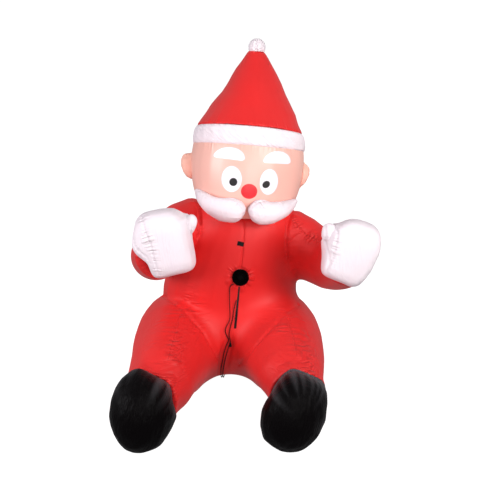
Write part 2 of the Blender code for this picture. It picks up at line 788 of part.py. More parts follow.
head = column_piece("head", HEAD_STATIONS, 2, skin_cloth, SEAM_GAP)
suit, left_ankle, right_ankle = make_suit(head, red_cloth)
band = column_piece("hat_band", band_stations(), 1, white_cloth, SEAM_GAP)
hat = column_piece("hat", band_stations()[-1:] + HAT_STATIONS_ABOVE_BAND, 1, red_cloth, SEAM_GAP)
pompom = ball("pompom", Vector(POMPOM_CENTRE) * SCALE, [POMPOM_RADIUS] * 3, POMPOM_SIDES, white_cloth)
cut_by(pompom, [hat])

left_boot = make_boot("left_boot", left_ankle, LEFT_SOLE, black_cloth)
right_boot = make_boot("right_boot", right_ankle, RIGHT_SOLE, black_cloth)

left_mitten = make_mitten("left_mitten", LEFT_MITTEN, LEFT_THUMB, white_cloth)
right_mitten = make_mitten("right_mitten", RIGHT_MITTEN, RIGHT_THUMB, white_cloth)
cut_by(suit, [left_mitten, right_mitten])

ear_sizes = [EAR_THICKNESS * EAR_REACH_SHARE, EAR_THICKNESS / 2, EAR_RADIUS]
left_ear = ball("left_ear", Vector(LEFT_EAR_CENTRE) * SCALE, ear_sizes, EAR_SIDES, skin_cloth)
right_ear = ball("right_ear", Vector(RIGHT_EAR_CENTRE) * SCALE, ear_sizes, EAR_SIDES, skin_cloth)
cut_by(left_ear, [head])
cut_by(right_ear, [head])

left_moustache = make_moustache("left_moustache", LEFT_MOUSTACHE_STATIONS, white_cloth)
right_moustache = make_moustache("right_moustache", RIGHT_MOUSTACHE_STATIONS, white_cloth)
cut_by(left_moustache, [head, suit])
cut_by(right_moustache, [head, suit])

belly = surface_of(suit)
fan_cover = make_fan(belly, black_plastic)
cut_by(fan_cover, [suit])
chest_tab = make_tab(belly, black_plastic)
zipper = make_zip(belly, black_plastic)

figure = [suit, head, band, hat, pompom, left_boot, right_boot, left_mitten, right_mitten]
figure += [left_ear, right_ear, left_moustache, right_moustache, fan_cover, chest_tab, zipper]
stand_at_origin(figure)

tube("fan_lead", FAN_LEAD_POINTS, LEAD_DIAMETER, FAN_LEAD_STEPS, black_plastic)
tube("light_lead", LIGHT_LEAD_POINTS, LEAD_DIAMETER, LIGHT_LEAD_STEPS, black_plastic)
make_clip(black_plastic)
splitter_sizes = (SPLITTER_WIDTH, SPLITTER_LENGTH, SPLITTER_HEIGHT)
block("lead_splitter", SPLITTER_PLACE, splitter_sizes, SPLITTER_EDGE, black_plastic)
tube("supply_lead_near", SUPPLY_NEAR_POINTS, SUPPLY_DIAMETER, SUPPLY_NEAR_STEPS, black_plastic)
make_coil(black_plastic)
tube("supply_lead_far", SUPPLY_FAR_POINTS, SUPPLY_DIAMETER, SUPPLY_FAR_STEPS, black_plastic)
make_adapter(black_plastic)
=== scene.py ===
import math

import bmesh
import bpy
import numpy as np
from mathutils import Euler, Matrix, Vector, noise
from mathutils.bvhtree import BVHTree
from mathutils.kdtree import KDTree


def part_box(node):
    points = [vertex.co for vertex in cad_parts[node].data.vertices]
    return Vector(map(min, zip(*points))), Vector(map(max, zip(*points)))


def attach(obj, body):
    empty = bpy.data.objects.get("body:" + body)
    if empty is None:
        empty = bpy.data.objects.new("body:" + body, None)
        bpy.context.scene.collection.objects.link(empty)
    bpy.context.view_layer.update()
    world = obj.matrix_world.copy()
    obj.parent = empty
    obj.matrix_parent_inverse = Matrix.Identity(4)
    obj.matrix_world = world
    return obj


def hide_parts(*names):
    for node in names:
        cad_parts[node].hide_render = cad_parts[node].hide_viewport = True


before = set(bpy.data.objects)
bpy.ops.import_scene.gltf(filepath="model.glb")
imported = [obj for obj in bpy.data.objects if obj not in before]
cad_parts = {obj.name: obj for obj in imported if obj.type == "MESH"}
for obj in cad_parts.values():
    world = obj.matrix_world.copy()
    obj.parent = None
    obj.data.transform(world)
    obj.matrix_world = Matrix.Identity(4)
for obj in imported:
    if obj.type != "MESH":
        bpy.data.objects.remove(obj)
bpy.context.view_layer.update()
bodyName = "root"


# Camera

cameraSpec = {
    "place": (-0.0156, -4.0669, 1.8177),
    "pitch": math.radians(77.317),
    "focalPixels": 727.7,
    "imageSize": 500,
    "sensor": 36.0,
    "farthest": 200.0,
}


def makeCamera(spec):
    data = bpy.data.cameras.new("camera")
    data.sensor_width = spec["sensor"]
    data.lens = spec["focalPixels"] * spec["sensor"] / spec["imageSize"]
    data.clip_end = spec["farthest"]
    item = bpy.data.objects.new("camera", data)
    item.location = spec["place"]
    item.rotation_euler = (spec["pitch"], 0.0, 0.0)
    bpy.context.scene.collection.objects.link(item)
    bpy.context.scene.camera = item


def photoRay(px, py):
    # From the camera through a point of the photograph, in its 500 x 500 frame
    half = cameraSpec["imageSize"] / 2
    focal = cameraSpec["focalPixels"]
    aim = Vector(((px - half) / focal, (half - py) / focal, -1.0))
    aim.rotate(Euler((cameraSpec["pitch"], 0.0, 0.0)))
    return Vector(cameraSpec["place"]), aim.normalized()


def photoPixels(points):
    # Where points of the frame fall in the photograph
    turn = np.array(Euler((cameraSpec["pitch"], 0.0, 0.0)).to_matrix())
    local = (points - np.array(cameraSpec["place"])) @ turn
    half = cameraSpec["imageSize"] / 2
    focal = cameraSpec["focalPixels"]
    px = half - focal * local[:, 0] / local[:, 2]
    py = half + focal * local[:, 1] / local[:, 2]
    return px, py


def addItem(name, data):
    item = bpy.data.objects.new(name, data)
    bpy.context.scene.collection.objects.link(item)
    return item


# Materials

def addNode(tree, kind, **values):
    node = tree.nodes.new(kind)
    for key, value in values.items():
        setattr(node, key, value)
    return node


def mathNode(tree, operation, first, second=None):
    node = addNode(tree, "ShaderNodeMath", operation=operation)
    for index, value in enumerate((first, second)):
        if value is None:
            continue
        if isinstance(value, (int, float)):
            node.inputs[index].default_value = value
        else:
            tree.links.new(value, node.inputs[index])
    return node.outputs[0]


def smoothRise(tree, value, reached, given=(0.0, 1.0)):
    # From the first given number to the second as the value goes between those reached; the first may be the larger
    node = addNode(tree, "ShaderNodeMapRange", interpolation_type="SMOOTHSTEP")
    tree.links.new(value, node.inputs["Value"])
    for key, number in zip(("From Min", "From Max", "To Min", "To Max"), reached + given):
        node.inputs[key].default_value = number
    return node.outputs["Result"]


def mixColour(tree, factor, first, second):
    node = addNode(tree, "ShaderNodeMix", data_type="RGBA")
    for socket, value in ((node.inputs[0], factor), (node.inputs[6], first), (node.inputs[7], second)):
        if isinstance(value, (int, float)):
            socket.default_value = value
        elif isinstance(value, tuple):
            socket.default_value = (*value, 1.0)
        else:
            tree.links.new(value, socket)
    return node.outputs[2]


def noiseNode(tree, vector, scale, detail=2.0, roughness=0.5):
    node = addNode(tree, "ShaderNodeTexNoise")
    node.inputs["Scale"].default_value = scale
    node.inputs["Detail"].default_value = detail
    node.inputs["Roughness"].default_value = roughness
    tree.links.new(vector, node.inputs["Vector"])
    return node.outputs["Fac"]


def foldedNoise(tree, vector, *settings):
    # Sharp valleys where the noise crosses its middle
    return mathNode(tree, "ABSOLUTE", mathNode(tree, "SUBTRACT", noiseNode(tree, vector, *settings), 0.5))


def newMaterial(name, roughness, sheen=0.0):
    material = bpy.data.materials.new(name)
    material.use_nodes = True
    shader = material.node_tree.nodes["Principled BSDF"]
    shader.inputs["Roughness"].default_value = roughness
    shader.inputs["Sheen Weight"].default_value = sheen
    return material, material.node_tree, shader


def addRelief(tree, shader, height):
    bump = addNode(tree, "ShaderNodeBump")
    bump.inputs["Strength"].default_value = 1.0
    bump.inputs["Distance"].default_value = 1.0
    tree.links.new(height, bump.inputs["Height"])
    tree.links.new(bump.outputs["Normal"], shader.inputs["Normal"])


def stretchedLines(tree, place, spec, detail, rough):
    # Creases drawn out one way: the place is turned first, then stretched
    turn = [math.radians(part) for part in spec["turn"]]
    for socket, values in (("Rotation", turn), ("Scale", spec["scale"])):
        node = addNode(tree, "ShaderNodeMapping")
        node.inputs[socket].default_value = values
        tree.links.new(place, node.inputs["Vector"])
        place = node.outputs[0]
    return foldedNoise(tree, place, 1.0, detail, rough)


# Scale and detail of each pattern, its height in metres, and where it starts and ends
fabricSpec = {
    "tone": (5.0, 3.0), "ridges": (44.0, 1.0), "crinkles": (30.0, 4.0, 0.6), "wrinkles": (3.0, 0.55),
    "creases": (1.0, 0.4), "patches": (7.0, 1.0), "patchEdge": (0.35, 0.6), "patchLeast": 0.3,
    # The gather strengths between which the painted sheen comes in
    "stitchEdge": (0.0075, 0.001), "paintedSheenBetween": (0.001, 0.026), "weaveScale": 260.0, "weaveHeight": 0.00002,
}


def fabricMaterial(
        name, colour, shade, roughness, gloss=0.3, sheen=0.0, crinkle=0.0006, stitch=0.003,
        wrinkle=None, crosswise=None, prints=None, fullness=None, paintedSheen=None):
    # Thin woven polyester: faint weave, fine crinkles, and tight gathers that die away from each seam
    material, tree, shader = newMaterial(name, roughness, sheen)
    shader.inputs["Specular IOR Level"].default_value = gloss
    place = addNode(tree, "ShaderNodeTexCoord").outputs["Object"]
    base = mixColour(tree, noiseNode(tree, place, *fabricSpec["tone"]), colour, shade)
    if prints:
        base = prints(tree, base)
    seam = addNode(tree, "ShaderNodeAttribute", attribute_name="seamPoint").outputs["Vector"]
    strength = addNode(tree, "ShaderNodeAttribute", attribute_name="gather").outputs["Fac"]
    # Where the gathers are strong the colour is painted lighter: a painted sheen for light caught by the gathered
    # cloth beside a seam
    if paintedSheen:
        base = mixColour(tree, smoothRise(tree, strength, fabricSpec["paintedSheenBetween"]), base, paintedSheen)
    tree.links.new(base, shader.inputs["Base Color"])

    ridge = foldedNoise(tree, seam, *fabricSpec["ridges"])
    gathers = mathNode(tree, "MULTIPLY", ridge, strength)

    apart = addNode(tree, "ShaderNodeVectorMath", operation="DISTANCE")
    tree.links.new(place, apart.inputs[0])
    tree.links.new(seam, apart.inputs[1])
    stitched = mathNode(tree, "MULTIPLY", smoothRise(tree, apart.outputs["Value"], fabricSpec["stitchEdge"]), -stitch)
    beside = addNode(tree, "ShaderNodeAttribute", attribute_name="seamNear").outputs["Fac"]
    stitched = mathNode(tree, "MULTIPLY", stitched, beside)
    gathers = mathNode(tree, "ADD", gathers, stitched)
    crinkles = mathNode(tree, "MULTIPLY", noiseNode(tree, place, *fabricSpec["crinkles"]), crinkle)
    height = mathNode(tree, "ADD", gathers, crinkles)
    if wrinkle:
        lines = stretchedLines(tree, place, wrinkle, *fabricSpec["wrinkles"])
        height = mathNode(tree, "ADD", height, mathNode(tree, "MULTIPLY", lines, wrinkle["height"]))
    if crosswise:
        # Tight creases that run across the limb
        lines = stretchedLines(tree, place, crosswise, *fabricSpec["creases"])
        mask = addNode(tree, "ShaderNodeAttribute", attribute_name="crease").outputs["Fac"]
        patchy = smoothRise(tree, noiseNode(tree, place, *fabricSpec["patches"]), fabricSpec["patchEdge"])
        mask = mathNode(tree, "MULTIPLY", mask, mathNode(tree, "ADD", patchy, fabricSpec["patchLeast"]))
        lines = mathNode(tree, "MULTIPLY", mathNode(tree, "MULTIPLY", lines, mask), crosswise["height"])
        height = mathNode(tree, "ADD", height, lines)
    if fullness:
        height = mathNode(tree, "ADD", height, fullness(tree, place))
    weave = addNode(tree, "ShaderNodeTexWave", wave_type="BANDS", bands_direction="DIAGONAL")
    weave.inputs["Scale"].default_value = fabricSpec["weaveScale"]
    tree.links.new(place, weave.inputs["Vector"])
    threads = mathNode(tree, "MULTIPLY", weave.outputs["Fac"], fabricSpec["weaveHeight"])
    height = mathNode(tree, "ADD", height, threads)
    addRelief(tree, shader, height)
    return material


bellyRelief = {"between": (0.42, 1.05), "lean": (0.0, 0.20)}


def bellyFullness(tree, place):
    # The chest leans out over the belly and the laps: broad relief that turns with height alone
    split = addNode(tree, "ShaderNodeSeparateXYZ")
    tree.links.new(place, split.inputs[0])
    return smoothRise(tree, split.outputs["Z"], bellyRelief["between"], bellyRelief["lean"])


plasticSpec = {"tone": (60.0, 3.0), "lighter": 1.6, "lift": 0.001, "grainDetail": 2.0}


def plasticMaterial(name, colour, roughness, grain=0.00008, scale=900.0, gloss=0.15):
    # Moulded plastic or rubber with a fine spark-eroded grain
    material, tree, shader = newMaterial(name, roughness)
    shader.inputs["Specular IOR Level"].default_value = gloss
    place = addNode(tree, "ShaderNodeTexCoord").outputs["Object"]
    tone = noiseNode(tree, place, *plasticSpec["tone"])
    light = tuple(part * plasticSpec["lighter"] + plasticSpec["lift"] for part in colour)
    tree.links.new(mixColour(tree, tone, colour, light), shader.inputs["Base Color"])
    height = mathNode(tree, "MULTIPLY", noiseNode(tree, place, scale, plasticSpec["grainDetail"]), grain)
    addRelief(tree, shader, height)
    return material


# The face is printed on the cloth: each shape is placed in the photograph's pixels
eyePrints = [
    {"centre": (231.65, 179.0), "radii": (10.15, 13.05), "lean": 0.0},
    {"centre": (268.85, 181.9), "radii": (9.1, 12.85), "lean": -0.07},
]
pupilPrints = [
    {"centre": (233.3, 182.0), "radii": (4.05, 4.05), "lean": 0.0},
    {"centre": (266.2, 184.5), "radii": (3.75, 3.65), "lean": -0.2},
]
printEdge = {"ellipse": (1.05, 0.95), "brow": (0.35, -0.35), "corner": 2.6}
printColours = {"white": (0.90, 0.86, 0.93), "pupil": (0.012, 0.010, 0.011), "nose": (0.72, 0.022, 0.030)}
nosePrint = {"centre": (249.1, 191.4), "radii": (8.2, 7.5), "lean": 0.0}
browPrints = [
    {"centre": (228.9, 158.0), "radii": (15.9, 10.9), "lean": 0.0, "cut": (157.0, 0.13, 212.0)},
    {"centre": (276.8, 162.3), "radii": (13.7, 11.1), "lean": -0.1, "cut": (162.9, 0.05, 264.0)},
]


def ellipseReach(tree, px, py, spec):
    # 1 on the ellipse, less inside it
    down = mathNode(tree, "SUBTRACT", py, spec["centre"][1])
    across = mathNode(tree, "SUBTRACT", px, spec["centre"][0])
    across = mathNode(tree, "SUBTRACT", across, mathNode(tree, "MULTIPLY", down, spec["lean"]))
    wide = mathNode(tree, "POWER", mathNode(tree, "DIVIDE", across, spec["radii"][0]), 2.0)
    tall = mathNode(tree, "POWER", mathNode(tree, "DIVIDE", down, spec["radii"][1]), 2.0)
    return mathNode(tree, "ADD", wide, tall)


def ellipseMask(tree, px, py, spec):
    return smoothRise(tree, ellipseReach(tree, px, py, spec), printEdge["ellipse"])


def browMask(tree, px, py, spec):
    # An ellipse cut off below by a slanting line, with rounded corners
    corner = printEdge["corner"]
    outside = mathNode(tree, "SUBTRACT", mathNode(tree, "POWER", ellipseReach(tree, px, py, spec), 0.5), 1.0)
    outside = mathNode(tree, "MULTIPLY", outside, spec["radii"][1])
    start, slope, origin = spec["cut"]
    line = mathNode(tree, "MULTIPLY", mathNode(tree, "SUBTRACT", px, origin), slope)
    below = mathNode(tree, "SUBTRACT", py, mathNode(tree, "ADD", line, start))
    sides = []
    for distance in (outside, below):
        part = mathNode(tree, "MAXIMUM", mathNode(tree, "ADD", distance, corner), 0.0)
        sides.append(mathNode(tree, "POWER", part, 2.0))
    apart = mathNode(tree, "POWER", mathNode(tree, "ADD", *sides), 0.5)
    return smoothRise(tree, mathNode(tree, "SUBTRACT", apart, corner), printEdge["brow"])


def facePrints(tree, base):
    spot = addNode(tree, "ShaderNodeAttribute", attribute_name="facePrint").outputs["Vector"]
    parts = addNode(tree, "ShaderNodeSeparateXYZ")
    tree.links.new(spot, parts.inputs[0])
    px, py, front = parts.outputs

    layers = [(eyePrints, ellipseMask, "white"), (pupilPrints, ellipseMask, "pupil"),
              (browPrints, browMask, "white"), ([nosePrint], ellipseMask, "nose")]
    for specs, maskOf, colour in layers:
        for spec in specs:
            mask = mathNode(tree, "MULTIPLY", maskOf(tree, px, py, spec), front)
            base = mixColour(tree, mask, base, printColours[colour])
    return base


redCloth = fabricMaterial("redCloth", (0.78, 0.012, 0.011), (0.72, 0.009, 0.009), 0.46, 0.48, 0.05)
legCreases = {"turn": (0.0, 0.0, 0.0), "scale": (4.5, 16.0, 42.0), "height": 0.036}
suitRed = fabricMaterial(
    "suitRed", (0.79, 0.014, 0.013), (0.73, 0.010, 0.010), 0.54, 0.42, 0.05,
    fullness=bellyFullness, crosswise=legCreases)
skinCloth = fabricMaterial("skinCloth", (0.90, 0.47, 0.39), (0.92, 0.52, 0.44), 0.36, 0.6, prints=facePrints)
earCloth = fabricMaterial("earCloth", (0.92, 0.47, 0.37), (0.94, 0.53, 0.43), 0.5)
bandWrinkle = {"turn": (0.0, -42.0, 0.0), "scale": (7.0, 12.0, 38.0), "height": 0.022}
mittenWrinkle = {"turn": (0.0, 8.0, 0.0), "scale": (55.0, 30.0, 6.0), "height": 0.006}
bootWrinkle = {"turn": (0.0, -12.0, 0.0), "scale": (40.0, 22.0, 9.0), "height": 0.012}
bandCloth = fabricMaterial("bandCloth", (0.92, 0.79, 0.85), (0.93, 0.84, 0.88), 0.5, wrinkle=bandWrinkle, stitch=0.0)
whiteCloth = fabricMaterial("whiteCloth", (0.87, 0.76, 0.82), (0.89, 0.81, 0.85), 0.5, wrinkle=mittenWrinkle)
# The boots' cloth is painted lighter beside the ankle seam: a painted sheen for light falling on their tops
blackCloth = fabricMaterial(
    "blackCloth", (0.0016, 0.0010, 0.0012), (0.0022, 0.0015, 0.0018), 0.45, 0.05,
    wrinkle=bootWrinkle, paintedSheen=(0.10, 0.096, 0.103))
fanPlastic = plasticMaterial("fanPlastic", (0.0008, 0.0006, 0.0006), 0.6, gloss=0.02)
blackPlastic = plasticMaterial("blackPlastic", (0.003, 0.003, 0.003), 0.42)
cordRubber = plasticMaterial("cordRubber", (0.003, 0.003, 0.003), 0.5, 0.00004, 1500.0)
webbing = plasticMaterial("webbing", (0.004, 0.0035, 0.0035), 0.6, 0.0003, 420.0)
makeCamera(cameraSpec)
print("stage: materials and camera")


# Cords: the route's points are the part's own, and the supply lead is one length with its coil

leadDiameter = 0.005
supplyDiameter = 0.006
fanLeadPoints = [
    (-0.1130, 0.0450, 0.6880), (-0.1320, 0.0400, 0.6710), (-0.1350, 0.0240, 0.6000),
    (-0.1330, 0.0120, 0.5150), (-0.1360, 0.0090, 0.4770), (-0.1600, 0.0100, 0.4240),
    (-0.1570, 0.0120, 0.3900), (-0.1420, 0.0150, 0.3520), (-0.1550, 0.0200, 0.3200),
    (-0.1730, 0.0370, 0.2550), (-0.1800, 0.0560, 0.2080), (-0.1920, 0.0950, 0.1420),
    (-0.1950, 0.1710, 0.0620), (-0.1930, 0.2430, 0.0260), (-0.1900, 0.3530, 0.0080),
    (-0.1870, 0.4830, 0.0040), (-0.1840, 0.6330, 0.0040), (-0.1790, 0.7830, 0.0040),
    (-0.1760, 0.8927, 0.0055),
]
lightLeadPoints = [
    (-0.0958, 0.0300, 0.5940), (-0.1080, 0.0190, 0.5490), (-0.1180, 0.0120, 0.4850),
    (-0.1340, 0.0100, 0.4250), (-0.1390, 0.0110, 0.3810), (-0.1330, 0.0180, 0.3400),
    (-0.1490, 0.0270, 0.2850), (-0.1640, 0.0510, 0.2220), (-0.1780, 0.0950, 0.1400),
    (-0.1830, 0.1480, 0.0800), (-0.1820, 0.2200, 0.0330), (-0.1780, 0.3500, 0.0090),
    (-0.1740, 0.4800, 0.0040), (-0.1700, 0.6300, 0.0040), (-0.1660, 0.7800, 0.0040),
    (-0.1640, 0.8927, 0.0055),
]
supplyNearPoints = [
    (-0.1700, 0.9333, 0.0055), (-0.1700, 0.9500, 0.0042), (-0.1700, 0.9900, 0.0036),
    (-0.1700, 1.0385, 0.0036),
]
supplyFarPoints = [
    (-0.0970, 1.0150, 0.0150), (-0.0900, 0.9950, 0.0080), (-0.0700, 0.9850, 0.0045),
    (-0.0400, 0.9950, 0.0045), (-0.0200, 1.0220, 0.0150), (-0.0050, 1.0290, 0.0195),
    (0.0092, 1.0300, 0.0200),
]
coilSpec = {
    "centre": (-0.134, 1.060),
    "radii": (0.0300, 0.0360),
    "levels": (0.0036, 0.0092, 0.0148, 0.0204),
    "turns": 7.5,
    "stepsPerTurn": 20,
    "climbShare": 0.20,
    "shiftOut": (0.85, 0.30),
    "shiftBack": (1.85, 0.15),
}


def curvePoints(points, steps):
    # A smooth curve through the route's own points
    out = []
    chain = [Vector(point) for point in points]
    chain = [chain[0] * 2 - chain[1]] + chain + [chain[-1] * 2 - chain[-2]]
    for before, start, end, after in zip(chain, chain[1:], chain[2:], chain[3:]):
        for step in range(steps):
            t = step / steps
            a = 2 * start
            b = (end - before) * t
            c = (2 * before - 5 * start + 4 * end - after) * t * t
            d = (3 * start - before - 3 * end + after) * t ** 3
            out.append((a + b + c + d) / 2)
    out.append(chain[-2])
    return out


def lengthOf(points):
    return sum((b - a).length for a, b in zip(points, points[1:]))


def evenPoints(points, count):
    # The same line, stepped in equal lengths
    total = lengthOf(points)
    out = [points[0]]
    walked = 0.0
    wanted = total / (count - 1)
    for start, end in zip(points, points[1:]):
        span = (end - start).length
        while walked + span >= wanted * len(out) - 1e-9 and len(out) < count - 1:
            out.append(start.lerp(end, (wanted * len(out) - walked) / span))
        walked += span
    out.append(points[-1])
    return out


def cordCurve(name, points, diameter):
    data = bpy.data.curves.new(name, "CURVE")
    data.dimensions = "3D"
    data.bevel_depth = diameter / 2
    data.bevel_resolution = 4
    data.use_fill_caps = True
    line = data.splines.new("POLY")
    line.points.add(len(points) - 1)
    for spot, point in zip(line.points, points):
        spot.co = (*point, 1.0)
    item = addItem(name, data)
    data.materials.append(cordRubber)
    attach(item, bodyName)
    return item


def coilRoute(spec):
    # Enters on the left going +Y, winds up level by level, and leaves on the right going -Y
    centre = spec["centre"]
    out = []
    total = int(spec["turns"] * spec["stepsPerTurn"])
    top = len(spec["levels"]) - 1

    def sideShare(turn, start, span):
        return 0.5 - 0.5 * math.cos(math.pi * min(1.0, max(0.0, (turn % 2 - start) / span)))

    for step in range(total + 1):
        turn = step / spec["stepsPerTurn"]
        level = min(turn / 2, float(top))
        low = int(level)
        into = level - low
        climb = max(0.0, min(1.0, (into - (1.0 - spec["climbShare"])) / spec["climbShare"]))
        climb = climb * climb * (3 - 2 * climb)
        high = min(low + 1, top)
        height = spec["levels"][low] + (spec["levels"][high] - spec["levels"][low]) * climb
        share = sideShare(turn, *spec["shiftOut"]) - sideShare(turn, *spec["shiftBack"])
        radius = spec["radii"][1] + (spec["radii"][0] - spec["radii"][1]) * share
        angle = math.pi - turn * 2 * math.pi
        out.append(Vector((centre[0] + radius * math.cos(angle), centre[1] + radius * math.sin(angle), height)))
    return out


routeSpec = {"leadSteps": 12, "fanPoints": 120, "lightPoints": 110, "supplySteps": 8}
fanRoute = evenPoints(curvePoints(fanLeadPoints, routeSpec["leadSteps"]), routeSpec["fanPoints"])
lightRoute = evenPoints(curvePoints(lightLeadPoints, routeSpec["leadSteps"]), routeSpec["lightPoints"])
coilTurns = coilRoute(coilSpec)
supplySteps = routeSpec["supplySteps"]
nearRoute = curvePoints(supplyNearPoints + [tuple(coilTurns[2])], supplySteps)[:-supplySteps]
farRoute = curvePoints([tuple(coilTurns[-1])] + supplyFarPoints, supplySteps)
supplyRoute = nearRoute + coilTurns[1:-1] + farRoute

fanLead = cordCurve("fanLead", fanRoute, leadDiameter)
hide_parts("fan_lead")
lightLead = cordCurve("lightLead", lightRoute, leadDiameter)
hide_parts("light_lead")
supplyLead = cordCurve("supplyLead", supplyRoute, supplyDiameter)
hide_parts("supply_lead_near", "supply_coil", "supply_lead_far")
print("cords", round(lengthOf(fanRoute), 3), round(lengthOf(lightRoute), 3), round(lengthOf(supplyRoute), 3))


# Soft pieces: the CAD solid is remeshed and its flat facets eased, then seams pull in and gather

weldSpec = {"doubles": 0.00002, "slivers": 0.00001, "made": 0.000002}


def cadMesh(node):
    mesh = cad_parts[node].data.copy()
    bm = bmesh.new()
    bm.from_mesh(mesh)
    bmesh.ops.remove_doubles(bm, verts=bm.verts, dist=weldSpec["doubles"])
    bmesh.ops.dissolve_degenerate(bm, edges=bm.edges, dist=weldSpec["slivers"])
    bm.normal_update()
    bm.to_mesh(mesh)
    return mesh, bm


def shortPieces(start, end, step=0.012):
    count = max(1, int(round((end - start).length / step)))
    return [(start.lerp(end, i / count), start.lerp(end, (i + 1) / count)) for i in range(count)]


def creaseLines(bm, keep):
    # The solid's own sharp edges, where two panels of cloth meet
    out = []
    for edge in bm.edges:
        if len(edge.link_faces) != 2:
            continue
        turned = edge.calc_face_angle_signed(0.0)
        middle = (edge.verts[0].co + edge.verts[1].co) / 2
        if keep(middle, turned):
            out += shortPieces(edge.verts[0].co.copy(), edge.verts[1].co.copy())
    return out


def planeLines(bm, place, normal):
    # Where a plane cuts the piece
    work = bm.copy()
    geometry = work.verts[:] + work.edges[:] + work.faces[:]
    cut = bmesh.ops.bisect_plane(work, geom=geometry, plane_co=place, plane_no=normal)
    out = []
    for part in cut["geom_cut"]:
        if isinstance(part, bmesh.types.BMEdge):
            out += shortPieces(part.verts[0].co.copy(), part.verts[1].co.copy())
    work.free()
    return out


photoLineSpec = {"steps": 8, "longest": 0.08}  # a longer jump between two spots isn't cloth


def photoLine(bm, pixels):
    # A seam that the photograph shows, laid on the surface under its pixels
    tree = BVHTree.FromBMesh(bm)
    spots = []
    chain = curvePoints([(px, py, 0.0) for px, py in pixels], photoLineSpec["steps"])
    for point in chain:
        place = tree.ray_cast(*photoRay(point.x, point.y))[0]
        if place is not None:
            spots.append(place)
    steps = [(a, b) for a, b in zip(spots, spots[1:]) if (b - a).length < photoLineSpec["longest"]]
    return [pair for a, b in steps for pair in shortPieces(a, b)]


def meshArrays(mesh):
    points = np.empty(len(mesh.vertices) * 3)
    mesh.vertices.foreach_get("co", points)
    edges = np.empty(len(mesh.edges) * 2, dtype=np.int32)
    mesh.edges.foreach_get("vertices", edges)
    return points.reshape(-1, 3), edges.reshape(-1, 2)


def normalsOf(mesh):
    normals = np.empty(len(mesh.vertices) * 3)
    mesh.vertices.foreach_get("normal", normals)
    return normals.reshape(-1, 3)


def setPoints(mesh, points):
    mesh.vertices.foreach_set("co", points.ravel())
    mesh.update()


def eased(values, edges, rounds, share):
    # Repeated averaging with the neighbours, less where share is small
    count = len(values)
    a, b = edges[:, 0], edges[:, 1]
    degree = np.bincount(a, minlength=count) + np.bincount(b, minlength=count)
    out = values.copy()
    for _ in range(rounds):
        total = np.empty_like(out)
        for axis in range(3):
            total[:, axis] = np.bincount(a, out[b, axis], count) + np.bincount(b, out[a, axis], count)
        out += 0.5 * share[:, None] * (total / degree[:, None] - out)
    return out


def nearestOn(lines, points, limit):
    # For each point: the nearest place on the seam's pieces and how far it is
    starts = np.array([start[:] for start, end in lines])
    ends = np.array([end[:] for start, end in lines])
    tree = KDTree(len(lines))
    for index, middle in enumerate((starts + ends) / 2):
        tree.insert(middle, index)
    tree.balance()
    low = starts.min(0) - limit
    high = starts.max(0) + limit
    inside = np.nonzero(np.all((points > low) & (points < high), axis=1))[0]
    near = points.copy()
    away = np.full(len(points), limit)
    found = [[index for place, index, distance in tree.find_n(points[i], 3)] for i in inside]
    if not found:
        return near, away
    found = np.array(found)
    best = np.full(len(inside), 1e9)
    for column in range(found.shape[1]):
        pick = found[:, column]
        along = ends[pick] - starts[pick]
        lengths = np.maximum((along ** 2).sum(1), 1e-12)
        t = np.clip(((points[inside] - starts[pick]) * along).sum(1) / lengths, 0.0, 1.0)
        spot = starts[pick] + along * t[:, None]
        distance = np.linalg.norm(points[inside] - spot, axis=1)
        better = distance < best
        best[better] = distance[better]
        near[inside[better]] = spot[better]
    away[inside] = np.minimum(best, limit)
    return near, away


def noiseAt(points, scale, shift=0.0):
    return np.array([noise.noise(Vector(point) * scale + Vector((shift, 0.0, 0.0))) for point in points])


# How far a seam is looked for, how its gathers vary in depth and reach, and how flat they start beside the stitches
gatherSpec = {
    "creaseLook": 0.22, "look": 3.2, "leastLook": 0.05, "steep": 2.6, "even": 0.45,
    "unevenScale": 0.6, "unevenShift": 7.0, "reachBetween": (0.55, 1.4), "fadeOut": 0.4, "start": 0.010, "flat": 0.6,
}


def seamMoves(points, lines, spec):
    # Inward groove at the seam, and gathers that cross it and die away
    limit = max(spec["reach"] * gatherSpec["look"], gatherSpec["leastLook"])
    if spec["crease"]:
        limit = gatherSpec["creaseLook"]
    near, away = nearestOn(lines, points, limit)
    close = np.nonzero(away < limit * 0.999)[0]
    move = np.zeros(len(points))
    strength = np.zeros(len(points))
    if len(close) == 0:
        return move, strength, near, away
    groove = np.exp(-(away[close] / spec["width"]) ** 2) * spec["groove"]
    drifted = near[close] + (points[close] - near[close]) * spec["drift"]
    ridge = noiseAt(drifted, 1.0 / spec["spacing"], spec["shift"])
    ridge = np.minimum(np.abs(ridge) * gatherSpec["steep"], 1.0) - gatherSpec["even"]
    scale = gatherSpec["unevenScale"] / spec["spacing"]
    uneven = np.abs(noiseAt(near[close], scale, spec["shift"] + gatherSpec["unevenShift"]))
    least, more = gatherSpec["reachBetween"]
    reach = spec["reach"] * (least + more * uneven)
    edge = np.clip((limit - away[close]) / (limit * gatherSpec["fadeOut"]), 0.0, 1.0)
    fade = np.exp(-away[close] / reach) * edge
    start = 1.0 - np.exp(-away[close] / gatherSpec["start"]) * gatherSpec["flat"]
    move[close] = -groove + spec["gather"] * ridge * fade * start
    strength[close] = fade * spec["fine"]
    return move, strength, near, away


leadRoom = {"look": 0.06, "full": 1.4, "beside": 0.035, "gap": 0.0015, "most": 0.05, "rounds": 6}


